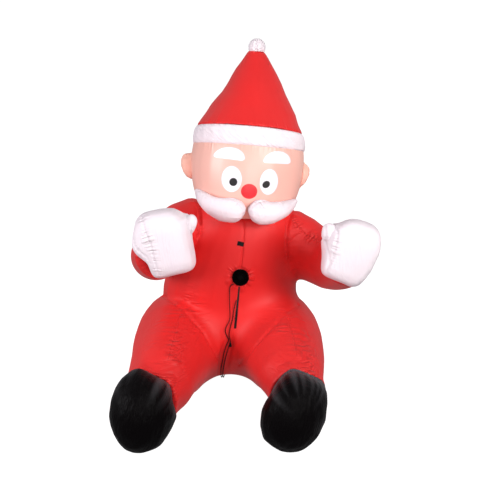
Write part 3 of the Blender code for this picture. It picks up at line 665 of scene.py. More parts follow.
def roomForLeads(points, normals, edges, routes, radius):
    # Where a lead lies on the cloth, the cloth stays just behind it
    push = np.zeros(len(points))
    for route in routes:
        near, away = nearestOn(list(zip(route, route[1:])), points, leadRoom["look"])
        above = ((points - near) * normals).sum(1)
        aside = np.sqrt(np.maximum(away ** 2 - above ** 2, 0.0))
        share = np.clip(leadRoom["full"] - aside / leadRoom["beside"], 0.0, 1.0)
        wanted = np.clip(above + radius + leadRoom["gap"], 0.0, leadRoom["most"])
        over = np.where(away < leadRoom["look"] - 0.0001, wanted, 0.0)
        push = np.maximum(push, over * share * share * (3.0 - 2.0 * share))
    wide = eased(np.repeat(push[:, None], 3, axis=1), edges, leadRoom["rounds"], np.ones(len(points)))[:, 0]
    return normals * -np.maximum(push, wide)[:, None]


def storeAttribute(mesh, name, kind, values):
    attribute = mesh.attributes.new(name, kind, "POINT")
    attribute.data.foreach_set("vector" if kind == "FLOAT_VECTOR" else "value", np.ascontiguousarray(values).ravel())


seamField = {"none": 0.2, "margin": 0.025, "beside": 0.010}


def gatherField(points, fields):
    # The seam point, the gathers' strength and whether a seam is beside it, for each point; where two seams
    # compete the gathers fade out
    count = len(points)
    best = np.full(count, 1e9)
    second = np.full(count, 1e9)
    near = points + seamField["none"]
    strength = np.zeros(count)
    for groupStrength, groupNear, groupAway in fields:
        better = groupAway < best
        second = np.where(better, best, np.minimum(second, groupAway))
        near[better] = groupNear[better]
        strength = np.where(better, groupStrength, strength)
        best = np.minimum(best, groupAway)
    margin = np.clip((second - best) / seamField["margin"], 0.0, 1.0)
    beside = np.clip(2.0 - best / seamField["beside"], 0.0, 1.0)
    return near, strength * margin * margin * (3.0 - 2.0 * margin), beside


outlineMoves = {}
neighbourTrees = {}


outlineSpec = {"bins": 120, "steps": 20, "kernel": (1.0, 2.0, 3.0, 2.0, 1.0), "fade": 12.0}


def outlineFit(reference, outline, power, above):
    # Eases a puffed piece in or out, square to the view, until its outline is the photograph's
    turn = np.array(Euler((cameraSpec["pitch"], 0.0, 0.0)).to_matrix())
    outline = np.array(outline, dtype=float)
    closed = np.vstack([outline, outline[:1]])
    steps = np.arange(outlineSpec["steps"]) / outlineSpec["steps"]
    wanted = np.vstack([closed[:-1] + (closed[1:] - closed[:-1]) * t for t in steps])
    centre = (outline.max(0) + outline.min(0)) / 2
    bins = outlineSpec["bins"]
    kernel = np.array(outlineSpec["kernel"]) / sum(outlineSpec["kernel"])
    grid = np.arange(-1, bins + 1)

    def polar(x, y):
        angle = np.arctan2(y - centre[1], x - centre[0])
        return np.hypot(x - centre[0], y - centre[1]), (angle + math.pi) / (2 * math.pi) * bins

    def rim(x, y):
        radius, place = polar(x, y)
        top = np.zeros(bins)
        np.maximum.at(top, place.astype(int) % bins, radius)
        known = np.nonzero(top > 0)[0]
        slots = np.concatenate([known - bins, known, known + bins])
        wide = np.interp(np.arange(-3, bins + 3), slots, np.tile(top[known], 3))
        smooth = np.convolve(wide, kernel, "same")[3:-3]
        return np.concatenate([smooth[-1:], smooth, smooth[:1]])

    have = rim(*photoPixels(reference))
    want = rim(wanted[:, 0], wanted[:, 1])

    def moves(points):
        px, py = photoPixels(points)
        depth = -((points - np.array(cameraSpec["place"])) @ turn)[:, 2]
        radius, place = polar(px, py)
        haveHere = np.interp(place - 0.5, grid, have)
        wantHere = np.interp(place - 0.5, grid, want)
        share = np.clip(radius / haveHere, 0.0, 1.0) ** power
        if above is not None:
            share = share * np.clip((above - py) / outlineSpec["fade"], 0.0, 1.0)
        grow = (wantHere / haveHere - 1.0) * share * depth / cameraSpec["focalPixels"]
        across = ((px - centre[0]) * grow)[:, None]
        down = ((py - centre[1]) * grow)[:, None]
        return turn[:, 0] * across - turn[:, 1] * down

    return moves


bandShape = {"full": 0.65, "depth": 0.09}


def bandDrop(points, drop):
    # The band's lower edge hangs further down over the forehead, along the band's own tilt
    sides = np.column_stack([points[:, :2], np.ones(len(points))])
    plane = np.linalg.lstsq(sides, points[:, 2], rcond=None)[0]
    return drop * np.clip(bandShape["full"] - (points[:, 2] - sides @ plane) / bandShape["depth"], 0.0, 1.0)


meltSpec = {"look": 0.24, "reach": 0.18, "full": 1.3, "rounds": 900}
holdSpec = {"look": 0.12, "reach": 0.035, "least": 0.12}  # how far a seam keeps the solid's edge from easing
creaseSpec = {"reach": 0.115, "limit": 0.2}
swellSpec = {"scale": 5.0, "shift": 900.0}  # low swells, shifted by the piece's voxel size so that none match


def voxelItem(name, mesh, size):
    item = addItem(name, mesh)
    remesh = item.modifiers.new("remesh", "REMESH")
    remesh.mode = "VOXEL"
    remesh.voxel_size = size
    remesh.use_smooth_shade = True
    graph = bpy.context.evaluated_depsgraph_get()
    made = bpy.data.meshes.new_from_object(item.evaluated_get(graph), depsgraph=graph)
    item.modifiers.clear()
    item.data = made
    made.name = name
    return item, made


def relaxed(points, edges, bm, groups, spec):
    # The solid's flat facets are eased, less beside the seams that hold its shape
    if spec.get("melt"):
        # A crease that the cloth bridges is filled in first
        away = nearestOn(spec["melt"](bm), points, meltSpec["look"])[1]
        share = np.clip(meltSpec["full"] - away / meltSpec["reach"], 0.0, 1.0)
        points = eased(points, edges, meltSpec["rounds"], share)
    held = [line for seam, lines in groups for line in lines if seam["holds"]]
    share = np.ones(len(points))
    if held:
        away = nearestOn(held, points, holdSpec["look"])[1]
        share = np.clip((away - spec["voxel"]) / holdSpec["reach"], holdSpec["least"], 1.0)
    soft = eased(points, edges, spec["rounds"], share)
    return soft + eased(points - soft, edges, spec["rounds"] * 2, share)


def fitted(points, spec):
    # Brought to the photograph's outline, and along with a neighbour where they meet
    if spec.get("outline"):
        outlineMoves[spec["node"]] = outlineFit(points, spec["outline"], spec.get("power", 3.0), spec.get("above"))
        points = points + outlineMoves[spec["node"]](points)
    for neighbour, reach in spec.get("follows", []):
        moves = outlineMoves[neighbour](points)
        tree = neighbourTrees[neighbour]
        away = np.array([tree.find(point)[2] for point in points])
        share = np.clip(1.0 - away / reach, 0.0, 1.0)
        points = points + moves * (share * share * (3.0 - 2.0 * share))[:, None]
    tree = KDTree(len(points))
    for index, point in enumerate(points):
        tree.insert(point, index)
    tree.balance()
    neighbourTrees[spec["node"]] = tree
    if spec.get("drop"):
        points[:, 2] -= bandDrop(points, spec["drop"])
    return points


def storeSeams(mesh, points, groups, fields):
    near, strength, beside = gatherField(points, fields)
    storeAttribute(mesh, "seamPoint", "FLOAT_VECTOR", near)
    storeAttribute(mesh, "gather", "FLOAT", strength)
    storeAttribute(mesh, "seamNear", "FLOAT", beside)
    crease = np.zeros(len(points))
    for group, field in zip(groups, fields):
        away = field[2]
        fade = np.exp(-(away / creaseSpec["reach"]) ** 2) * (away < creaseSpec["limit"])
        crease = np.maximum(crease, group[0]["crease"] * fade)
    storeAttribute(mesh, "crease", "FLOAT", crease)


def softPiece(spec):
    name = spec["name"]
    node = spec["node"]
    mesh, bm = cadMesh(node)
    item, made = voxelItem(name, mesh, spec["voxel"])

    groups = [(seam, seam["find"](bm)) for seam in spec["seams"]]
    groups = [(seam, lines) for seam, lines in groups if lines]
    points, edges = meshArrays(made)
    points = fitted(relaxed(points, edges, bm, groups, spec), spec)
    floor = spec.get("floor")
    if floor is not None:
        points[:, 2] = np.maximum(points[:, 2], floor)
    setPoints(made, points)

    normals = normalsOf(made)
    total = np.zeros(len(points))
    fields = []
    for seam, lines in groups:
        move, strength, near, away = seamMoves(points, lines, seam)
        total += move
        fields.append((strength, near, away))
    total += spec["swell"] * noiseAt(points, swellSpec["scale"], spec["voxel"] * swellSpec["shift"])
    rested = points
    points = points + normals * total[:, None]
    if spec.get("leads"):
        setPoints(made, points)
        points = points + roomForLeads(points, normalsOf(made), edges, spec["leads"], leadDiameter / 2)
    if floor is not None:
        points[:, 2] = np.maximum(points[:, 2], floor)
    setPoints(made, points)
    storeSeams(made, rested, groups, fields)
    made.polygons.foreach_set("use_smooth", [True] * len(made.polygons))
    made.materials.clear()
    made.materials.append(spec["material"])
    bm.free()
    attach(item, bodyName)
    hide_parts(node)
    print("soft", name, len(made.vertices))
    return item


floorEdge = 0.012  # edges below this height are where the piece rests, not seams


def sharpEdges(least, test=None):
    def find(bm):
        def keep(middle, turned):
            sharp = abs(turned) > math.radians(least) and middle.z > floorEdge
            return sharp and (test is None or test(middle))
        return creaseLines(bm, keep)
    return find


def planeCut(place, normal):
    def find(bm):
        return planeLines(bm, Vector(place), Vector(normal))
    return find


def photoSeam(pixels):
    def find(bm):
        return photoLine(bm, pixels)
    return find


def seamSpec(
        find, groove, gather, reach, spacing, width, fine, drift=0.15, shift=0.0, crease=0.0, holds=True):
    # groove, gather and fine are heights: the first two in the mesh, the last in the cloth's bump
    return {
        "find": find, "groove": groove, "gather": gather, "reach": reach, "spacing": spacing,
        "width": width, "fine": fine, "drift": drift, "shift": shift, "crease": crease, "holds": holds,
    }


def openSeam(pixels, *settings, **named):
    # A seam on open cloth that the photograph shows: it doesn't hold the solid's edge
    return seamSpec(photoSeam(pixels), *settings, holds=False, **named)


legJoin = {"below": 0.62, "depths": (-0.30, 0.25), "frontHalf": 0.20}


def nearLegJoin(middle):
    return middle.z < legJoin["below"] and legJoin["depths"][0] < middle.y < legJoin["depths"][1]


def frontLegJoin(middle):
    return nearLegJoin(middle) and abs(middle.x) < legJoin["frontHalf"]


def awayFromLegJoin(middle):
    return not nearLegJoin(middle)


leftGroin = [(160, 294), (171, 301), (184, 311), (192, 320), (204, 333), (213, 350), (219.5, 364), (221, 373)]
rightGroin = [(299, 304), (286, 312), (276, 323), (265, 335), (252, 350), (242, 361), (234, 371)]
leftThighSeam = [(182, 312), (178, 321), (176, 328), (175, 335), (173, 344), (169, 358), (166, 368)]
rightThighSeam = [(288, 316), (290, 325), (292.5, 333), (295, 342), (297, 352), (300, 364), (302, 370)]
chestSeam = [(244.7, 216), (244, 230), (243.5, 240), (242.5, 247), (242, 257), (240.8, 268)]
crotchSeam = [(235, 328), (231, 345), (226, 360), (222, 373)]
rightArmhole = [(291, 213), (288, 224), (287, 236), (287, 250), (289, 262), (294, 270)]
leftArmhole = [(196, 207), (197, 217), (197.5, 226), (197, 238)]
fanRingSpec = {"centre": (240.0, 277.0), "radius": 8.6, "step": 0.4, "count": 17}
fanRing = [
    (fanRingSpec["centre"][0] + fanRingSpec["radius"] * math.cos(turn * fanRingSpec["step"]),
     fanRingSpec["centre"][1] + fanRingSpec["radius"] * math.sin(turn * fanRingSpec["step"]))
    for turn in range(fanRingSpec["count"])
]
sleeveTop = [(291.8, 217.7), (302.3, 230.5), (312.3, 238.6), (321, 240.9)]
sleeveGore = [(288, 243), (294, 236), (302.3, 231)]
leftGusset = [
    (141, 214), (142.5, 222), (145, 231.4), (149.3, 242.3), (152, 251.4), (154, 260.5), (156, 268), (158.4, 277),
]
leftCuff = [(132.5, 240), (135.6, 248), (141, 254), (146.5, 259), (148.5, 264)]
rightGusset = [(336.5, 226), (337.3, 233), (336, 243), (332.5, 256), (330, 264), (326, 273)]
rightCuff = [(324.5, 226), (325, 238), (325.5, 247), (328.4, 256), (327.6, 264), (324.1, 273)]
leftMittenOutline = [
    (183.4, 214.5), (180.2, 210.9), (172.9, 207.7), (161.1, 208.3), (149.3, 210.7), (141.5, 213.6),
    (136.5, 218.6), (133.8, 228.6), (132.2, 235.9), (131.5, 246.8), (135.6, 254.4), (143.8, 260.8),
    (147.9, 263.5), (151.1, 271.4), (154.3, 277.3), (158.4, 278.5), (164.7, 277.5), (185.6, 272.5),
    (193.8, 268.8), (196.1, 262.3), (194.9, 251.4), (192.4, 237.5), (192.5, 232.5), (196.3, 225.9),
    (197.3, 221.4), (194.7, 215), (188.4, 213.6),
]
rightMittenOutline = [
    (321.2, 231), (324.1, 224.5), (330.5, 222.7), (336, 223.6), (339.5, 222.5), (347.7, 219.1),
    (355, 218.4), (365, 221), (374.1, 225), (379.5, 231.4), (380.9, 241.4), (380, 252.3),
    (375, 263.2), (370.5, 272.3), (364.1, 280.5), (357.7, 286.4), (350.5, 287.3), (348.6, 285.9),
    (335, 280.5), (324.1, 275.5), (321.4, 272.3), (321.6, 264.1), (321.9, 257), (321.2, 245),
]
leftBootOutline = [
    (138.6, 367.9), (144.1, 370.2), (154.1, 375.6), (163.2, 380.2), (169.1, 383.8), (171.4, 389.3),
    (172.4, 399), (175, 408.4), (177.3, 416.5), (172.3, 427.5), (166.8, 436.5), (159.5, 446.5),
    (150.5, 450.6), (141.4, 452.9), (134.1, 452.9), (125.9, 450.2), (119.5, 443.8), (114.1, 434.7),
    (110.5, 424.7), (109.1, 416.5), (110, 407.5), (111.4, 398.4), (115.9, 386.5), (121.4, 378.4),
    (127.7, 373.4), (133.2, 369.7),
]
rightBootOutline = [
    (294.1, 368.8), (289.5, 370.2), (282.3, 375.6), (275, 385.6), (270.5, 393.8), (265, 402),
    (261.4, 410.2), (260, 424.7), (263.6, 439.3), (271.4, 445.6), (281.4, 451.5), (291.4, 452.7),
    (300.5, 451.5), (308.6, 446.5), (316.8, 438.4), (322.3, 427.5), (325.9, 420.2), (326.8, 411.1),
    (328, 401.1), (326.8, 390.2), (324.5, 382), (320.5, 379.3), (305.9, 372.9),
]

hatOutline = [
    (249.4, 49.9), (242.9, 58.6), (235.1, 68.9), (227.3, 82.9), (220.2, 93.8), (210.2, 105.3),
    (205.6, 113.4), (197.8, 125.8), (198, 131), (225, 131), (250, 132), (280, 135), (301, 139),
    (302, 135.2), (299.8, 123.3), (294.2, 111.5), (286.4, 96.9), (281.2, 83.5), (275.6, 72),
    (269.3, 61.1), (265, 53.3), (256.9, 50.0),
]
leftMoustacheOutline = [
    (195.5, 188.6), (200.6, 189.1), (205.7, 193.7), (211.8, 196.7), (221, 198), (231.2, 197.6),
    (237.3, 198.6), (242.4, 201.8), (245.5, 206.9), (246, 211), (243, 216.6), (239.4, 220.7),
    (233.3, 222.8), (226.1, 222.2), (220, 221.2), (212.9, 217.1), (205.7, 212), (199.6, 204.9),
    (196, 197.8), (195, 191.6),
]
rightMoustacheOutline = [
    (258.3, 199.3), (263.9, 199.8), (270.5, 201.8), (277.1, 201.8), (283.3, 201.3), (289.4, 199.8),
    (296.5, 198.3), (297.6, 200.8), (296, 204.9), (292.4, 211), (287.3, 216.1), (281.2, 219.7),
    (274.1, 223.3), (266.9, 224.8), (259.8, 224.8), (253.7, 222.2), (249.6, 217.1), (248.6, 212),
    (247.2, 209.5), (250.6, 204.4), (254.7, 200.3),
]
leftEarOutline = [
    (193.5, 152.9), (186.6, 153.2), (182.9, 154.8), (181, 159.9), (181.2, 165.7), (183.3, 171.5),
    (186.6, 176.5), (190.8, 178.8), (194, 178.5), (195.5, 172), (195.5, 160),
]
rightEarOutline = [
    (301, 162.2), (304.5, 163), (307.4, 165.2), (309.5, 168.4), (309.2, 174.8), (305.4, 182.3),
    (300.2, 187.6), (296.5, 188.1), (296, 180), (298, 168),
]

suitSpec = {
    "name": "suitCloth", "node": "suit", "voxel": 0.0080, "rounds": 26, "swell": 0.003, "floor": 0.0004,
    "material": suitRed, "slot": "red_cloth",
    "melt": sharpEdges(20, frontLegJoin), "leads": [fanRoute, lightRoute],
    "follows": [("left_boot", 0.16), ("right_boot", 0.16)],
    "seams": [
        seamSpec(sharpEdges(28, awayFromLegJoin), 0.003, 0.002, 0.026, 0.034, 0.009, 0.010),
        openSeam(leftGroin, 0.0080, 0.0008, 0.025, 0.05, 0.014, 0.006, shift=1.0),
        openSeam(rightGroin, 0.0080, 0.0008, 0.025, 0.05, 0.014, 0.006, shift=2.0),
        openSeam(leftThighSeam, 0.001, 0.0, 0.030, 0.045, 0.008, 0.006, 0.15, 3.0, 1.0),
        openSeam(rightThighSeam, 0.001, 0.0, 0.030, 0.045, 0.008, 0.006, 0.15, 4.0, 1.0),
        openSeam(chestSeam, 0.003, 0.0, 0.010, 0.03, 0.006, 0.003, shift=5.0),
        openSeam(crotchSeam, 0.003, 0.0, 0.010, 0.03, 0.006, 0.003, shift=6.0),
        openSeam(rightArmhole, 0.004, 0.003, 0.070, 0.024, 0.008, 0.048, 0.1, 7.0),
        openSeam(leftArmhole, 0.004, 0.002, 0.025, 0.024, 0.008, 0.012, 0.1, 8.0),
        openSeam(sleeveTop, 0.003, 0.003, 0.055, 0.022, 0.007, 0.042, 0.1, 9.0),
        openSeam(fanRing, 0.003, 0.0010, 0.045, 0.022, 0.009, 0.062, 0.1, 11.0),
        openSeam(sleeveGore, 0.003, 0.001, 0.015, 0.03, 0.007, 0.006, 0.1, 10.0),
    ],
}
headSpec = {
    "name": "headCloth", "node": "head", "voxel": 0.0065, "rounds": 60, "swell": 0.002,
    "material": skinCloth, "slot": "skin_cloth",
    "seams": [seamSpec(sharpEdges(35), 0.002, 0.0012, 0.028, 0.030, 0.008, 0.024)],
}


def middleOf(node):
    low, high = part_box(node)
    return (low + high) / 2


def earSpec(name, node, outline):
    return {
        "name": name, "node": node, "voxel": 0.004, "rounds": 10, "swell": 0.001,
        "material": earCloth, "slot": "skin_cloth", "outline": outline,
        "seams": [seamSpec(planeCut(middleOf(node), (0.0, 1.0, 0.0)), 0.003, 0.0025, 0.018, 0.016, 0.005, 0.010)],
    }


def whiteSpec(
        name, node, seams, voxel=0.0055, rounds=18, swell=0.002, outline=None, material=whiteCloth, drop=0.0):
    return {
        "name": name, "node": node, "voxel": voxel, "rounds": rounds, "swell": swell, "drop": drop,
        "material": material, "slot": "white_cloth", "seams": seams, "outline": outline,
    }


def bootSpec(name, node, outline):
    return {
        "name": name, "node": node, "voxel": 0.0060, "rounds": 18, "swell": 0.003, "floor": 0.0004,
        "material": blackCloth, "slot": "black_cloth", "outline": outline,
        "seams": [seamSpec(sharpEdges(30), 0.001, 0.0015, 0.110, 0.026, 0.006, 0.034)],
    }


def moustacheSeams(node, side):
    # The seam's plane runs along the moustache and leans back
    return [seamSpec(planeCut(middleOf(node), (0.544 * side, 0.791, 0.28)), 0.004, 0.003, 0.050, 0.022, 0.006, 0.030)]


def mittenSeams(gusset, cuff):
    return [
        seamSpec(sharpEdges(30), 0.002, 0.001, 0.020, 0.024, 0.007, 0.010),
        openSeam(gusset, 0.007, 0.002, 0.040, 0.022, 0.008, 0.036, 0.1, 2.0),
        openSeam(cuff, 0.008, 0.002, 0.016, 0.022, 0.009, 0.012, 0.1, 3.0),
    ]


bandSeams = [seamSpec(sharpEdges(30), 0.001, 0.0015, 0.016, 0.026, 0.007, 0.008)]
pompomSeams = [seamSpec(planeCut(middleOf("pompom"), (1.0, 0.0, 0.0)), 0.002, 0.002, 0.014, 0.014, 0.004, 0.005)]
softSpecs = [
    bootSpec("leftBoot", "left_boot", leftBootOutline),
    bootSpec("rightBoot", "right_boot", rightBootOutline),
    suitSpec,
    headSpec,
    earSpec("leftEar", "left_ear", leftEarOutline),
    earSpec("rightEar", "right_ear", rightEarOutline),
    whiteSpec("leftMoustache", "left_moustache", moustacheSeams("left_moustache", 1.0), 0.0045,
              outline=leftMoustacheOutline),
    whiteSpec("rightMoustache", "right_moustache", moustacheSeams("right_moustache", -1.0), 0.0045,
              outline=rightMoustacheOutline),
    whiteSpec("hatBand", "hat_band", bandSeams, 0.006, material=bandCloth, drop=0.016),
    {
        "name": "hatCloth", "node": "hat", "voxel": 0.0065, "rounds": 22, "swell": 0.005,
        "outline": hatOutline, "power": 2.0, "above": 126.0,
        "material": redCloth, "slot": "red_cloth",
        "seams": [seamSpec(sharpEdges(35), 0.002, 0.002, 0.030, 0.026, 0.008, 0.014)],
    },
    whiteSpec("pompomCloth", "pompom", pompomSeams, 0.0035, 8, 0.001),
    whiteSpec("leftMitten", "left_mitten", mittenSeams(leftGusset, leftCuff), outline=leftMittenOutline),
    whiteSpec("rightMitten", "right_mitten", mittenSeams(rightGusset, rightCuff), outline=rightMittenOutline),
]
softItems = {spec["name"]: softPiece(spec) for spec in softSpecs}


printFront = {"depth": 0.30, "fade": 0.02}  # the face is printed on the cloth in front of this depth


def storeFacePlaces(item):
    points = meshArrays(item.data)[0]
    px, py = photoPixels(points)
    front = np.clip((printFront["depth"] - points[:, 1]) / printFront["fade"], 0.0, 1.0)
    storeAttribute(item.data, "facePrint", "FLOAT_VECTOR", np.stack([px, py, front], axis=1))


storeFacePlaces(softItems["headCloth"])
print("stage: soft pieces")


# Hard pieces: the fan's guard, the zip and the tab are made in detail where their CAD solids lie

def ownFrame(node):
    # Middle, long axis, cross axis and the thin axis that faces the camera's side, from the node's own points
    points = meshArrays(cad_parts[node].data)[0]
    points = np.unique(points.round(6), axis=0)
    middle = (points.max(0) + points.min(0)) / 2
    axes = np.linalg.eigh(np.cov((points - points.mean(0)).T))[1]
    out = Vector(axes[:, 0])
    if out.y > 0:
        out = -out
    along = Vector(axes[:, 2])
    return Vector(middle), along, out.cross(along), out


sharpFrom = math.radians(35)


def finishPiece(name, bm, material):
    bmesh.ops.remove_doubles(bm, verts=bm.verts, dist=weldSpec["made"])
    bmesh.ops.recalc_face_normals(bm, faces=bm.faces)
    mesh = bpy.data.meshes.new(name)
    bm.to_mesh(mesh)
    bm.free()
    mesh.polygons.foreach_set("use_smooth", [True] * len(mesh.polygons))
    mesh.set_sharp_from_angle(angle=sharpFrom)
    mesh.materials.append(material)
    item = addItem(name, mesh)
    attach(item, bodyName)
    return item


def edgesOf(verts):
    # Each edge once and always in the same order
    return list(dict.fromkeys(edge for vert in verts for edge in vert.link_edges))


def facesOf(verts):
    return list(dict.fromkeys(face for vert in verts for face in vert.link_faces))


def addTurned(bm, profile, place, across, out, steps, closed=True):
    # An outline of (radius, height) spun about the out axis
    verts = [bm.verts.new(place + across * radius + out * height) for radius, height in profile]
    pairs = list(zip(verts, verts[1:]))
    if closed:
        pairs.append((verts[-1], verts[0]))
    edges = [bm.edges.new(pair) for pair in pairs]
    bmesh.ops.spin(bm, geom=verts + edges, cent=place, axis=out, angle=2 * math.pi, steps=steps, use_merge=True)


def addBar(bm, start, end, out, width, height, soften):
    # A bar from start to end with softened edges
    along = (end - start).normalized()
    out = (out - along * out.dot(along)).normalized()
    turn = Matrix((along, out.cross(along), out)).transposed().to_4x4()
    turn.translation = (start + end) / 2 + out * height / 2
    size = Matrix.Diagonal(((end - start).length, width, height, 1.0))
    made = bmesh.ops.create_cube(bm, size=1.0, matrix=turn @ size)
    edges = edgesOf(made["verts"])
    bmesh.ops.bevel(bm, geom=edges, offset=soften, affect="EDGES", segments=1, profile=0.5, material=-1)


def addBlade(bm, place, across, up, out, start, spec):
    # A twisted blade that sweeps back as it goes out
    made = bmesh.ops.create_grid(bm, x_segments=6, y_segments=2, size=1.0)
    for vert in made["verts"]:
        share = (vert.co.x + 1) / 2
        angle = start + share * spec["sweep"]
        spoke = across * math.cos(angle) + up * math.sin(angle)
        reach = spec["inner"] + (spec["outer"] - spec["inner"]) * share
        width = (spec["root"] + (spec["tip"] - spec["root"]) * share) * vert.co.y
        vert.co = place + spoke * reach + out.cross(spoke) * width - out * (spec["pitch"] * vert.co.y)
    bmesh.ops.solidify(bm, geom=facesOf(made["verts"]), thickness=spec["thickness"])


fanSpec = {
    "rim": [(0.0440, -0.022), (0.0455, -0.022), (0.0495, -0.018), (0.0495, 0.0012), (0.0480, 0.0030),
            (0.0455, 0.0030), (0.0440, 0.0012)],
    "ring": [(-0.0009, -0.0020), (0.0009, -0.0020), (0.0009, 0.0012), (0.0, 0.0020), (-0.0009, 0.0012)],
    "rings": (0.0225, 0.0285, 0.0345, 0.0405),
    "hub": [(0.0, -0.0030), (0.0165, -0.0030), (0.0165, -0.0006), (0.0150, 0.0008), (0.0082, 0.0014), (0.0, 0.0016)],
    "back": [(0.0, -0.0080), (0.0450, -0.0080), (0.0450, -0.0068), (0.0, -0.0068)],
    "steps": {"rim": 64, "ring": 56, "flat": 40}, "proud": 0.0045,
    "ribs": 12, "ribWidth": 0.0022, "ribHeight": 0.0042, "ribDepth": 0.002, "ribOverlap": 0.001, "ribSoften": 0.0004,
    "blades": 7, "bladeDepth": 0.0045,
    "blade": {"inner": 0.008, "outer": 0.042, "root": 0.006, "tip": 0.014, "sweep": 0.55,
              "pitch": 0.0012, "thickness": 0.0008},
}


def makeFan(spec):
    axes = ownFrame("fan_cover")
    middle, out = axes[0], axes[3]
    across = Vector((1.0, 0.0, 0.0))
    across = (across - out * across.dot(out)).normalized()
    up = out.cross(across)
    points = meshArrays(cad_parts["fan_cover"].data)[0]
    reach = max(Vector(point).dot(out) for point in points)
    front = middle + out * (reach - middle.dot(out) - spec["proud"])
    steps = spec["steps"]
    bm = bmesh.new()
    addTurned(bm, spec["rim"], front, across, out, steps["rim"])
    for radius in spec["rings"]:
        addTurned(bm, [(radius + part, height) for part, height in spec["ring"]], front, across, out, steps["ring"])
    addTurned(bm, spec["hub"], front, across, out, steps["flat"], closed=False)
    addTurned(bm, spec["back"], front, across, out, steps["flat"], closed=False)
    low = front - out * spec["ribDepth"]
    inner = spec["hub"][1][0] - spec["ribOverlap"]
    outer = spec["rim"][0][0] + spec["ribOverlap"]
    for rib in range(spec["ribs"]):
        angle = 2 * math.pi * rib / spec["ribs"]
        spoke = across * math.cos(angle) + up * math.sin(angle)
        start, end = low + spoke * inner, low + spoke * outer
        addBar(bm, start, end, out, spec["ribWidth"], spec["ribHeight"], spec["ribSoften"])
    for blade in range(spec["blades"]):
        start = 2 * math.pi * blade / spec["blades"]
        addBlade(bm, front - out * spec["bladeDepth"], across, up, out, start, spec["blade"])
    item = finishPiece("fanCover", bm, fanPlastic)
    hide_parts("fan_cover")


zipSpec = {
    "top": (-0.0790, 0.6665), "bottom": (-0.1030, 0.4290), "steps": 60,
    "tapeTop": 0.0085, "tapeBottom": 0.0150, "tapeThickness": 0.0009, "gap": 0.0015,
    "tooth": (0.0023, 0.0017, 0.0016), "toothLean": 0.28, "toothSoften": 0.0003,
    "slider": (0.010, 0.0068, 0.0030), "sliderDown": 0.004, "sliderSoften": 0.0008,
    "pull": (0.016, 0.0034, 0.0012), "pullDown": 0.8, "pullProud": 0.0022, "pullSoften": 0.0004,
}


def surfaceRow(tree, spec):
    # Places and normals down the zip's line, cast straight onto the belly
    rows = []
    for step in range(spec["steps"] + 1):
        share = step / spec["steps"]
        x = spec["top"][0] + (spec["bottom"][0] - spec["top"][0]) * share
        z = spec["top"][1] + (spec["bottom"][1] - spec["top"][1]) * share
        rows.append(tree.ray_cast(Vector((x, -3.0, z)), Vector((0.0, 1.0, 0.0)))[:2])
    return rows


def makeZip(tree, spec):
    rows = surfaceRow(tree, spec)
    last = spec["steps"]
    frames = []
    for step, (place, normal) in enumerate(rows):
        down = (rows[min(step + 1, last)][0] - rows[max(step - 1, 0)][0]).normalized()
        frames.append((place + normal * spec["gap"], down, down.cross(normal).normalized(), normal))
    bm = bmesh.new()
    tape = bmesh.ops.create_grid(bm, x_segments=2, y_segments=last, size=1.0)["verts"]
    for vert in tape:
        share = (vert.co.y + 1) / 2
        base, down, side, normal = frames[int(round(share * last))]
        width = spec["tapeTop"] + (spec["tapeBottom"] - spec["tapeTop"]) * share
        vert.co = base + side * (vert.co.x * width / 2)
    bmesh.ops.solidify(bm, geom=facesOf(tape), thickness=-spec["tapeThickness"])
    wide, tall, high = spec["tooth"]
    for step in range(2, last - 1):
        base, down, side, normal = frames[step]
        lean = wide * (spec["toothLean"] if step % 2 else -spec["toothLean"])
        start = base + normal * spec["tapeThickness"] + side * lean
        addBar(bm, start - side * wide / 2, start + side * wide / 2, normal, tall, high, spec["toothSoften"])
    base, down, side, normal = frames[1]
    start = base + normal * spec["tapeThickness"] + down * spec["sliderDown"]
    slider, pull = spec["slider"], spec["pull"]
    addBar(bm, start, start + down * slider[0], normal, slider[1], slider[2], spec["sliderSoften"])
    start = start + down * (slider[0] * spec["pullDown"]) + normal * spec["pullProud"]
    addBar(bm, start, start + down * pull[0], normal, pull[1], pull[2], spec["pullSoften"])
    item = finishPiece("frontZip", bm, blackPlastic)
    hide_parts("zip")


tabSpec = {
    "length": 0.038, "width": 0.024, "thickness": 0.0022, "grid": (20, 14), "bend": 4.5,
    "stitches": (0.72, 0.88), "dip": 0.0006,
}


def makeTab(spec):
    # A small folded webbing tab, stitched round its edge
    middle, along, cross, out = ownFrame("chest_tab")
    bm = bmesh.new()
    long, wide = spec["grid"]
    made = bmesh.ops.create_grid(bm, x_segments=long, y_segments=wide, size=1.0)["verts"]
    near, far = spec["stitches"]
    for vert in made:
        u, v = vert.co.x, vert.co.y
        edge = max(abs(u), abs(v))
        lift = spec["dip"] * math.cos(u * spec["bend"]) - (spec["dip"] if near < edge < far else 0.0)
        flat = along * (u * spec["length"] / 2) + cross * (v * spec["width"] / 2)
        vert.co = middle + flat + out * (lift + spec["thickness"] / 2)
    bmesh.ops.solidify(bm, geom=facesOf(made), thickness=spec["thickness"])
    item = finishPiece("chestTab", bm, webbing)
    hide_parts("chest_tab")


suitSurface = bmesh.new()
suitSurface.from_mesh(softItems["suitCloth"].data)
suitTree = BVHTree.FromBMesh(suitSurface)
makeFan(fanSpec)
makeZip(suitTree, zipSpec)
makeTab(tabSpec)
suitSurface.free()
for nodeName in ("lead_clip", "lead_splitter", "power_adapter"):
    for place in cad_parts[nodeName].material_slots:
        place.material = blackPlastic


# Stage: white floor and surround, a key light on the viewer's right, one in front and a softer fill

floorSpec = {"grey": 0.30, "roughness": 0.9, "gloss": 0.0, "glow": 1.0, "radius": 30.0}
surroundSpec = {"grey": 0.0, "roughness": 1.0, "gloss": 0.5, "glow": 1.05, "radius": 29.0}


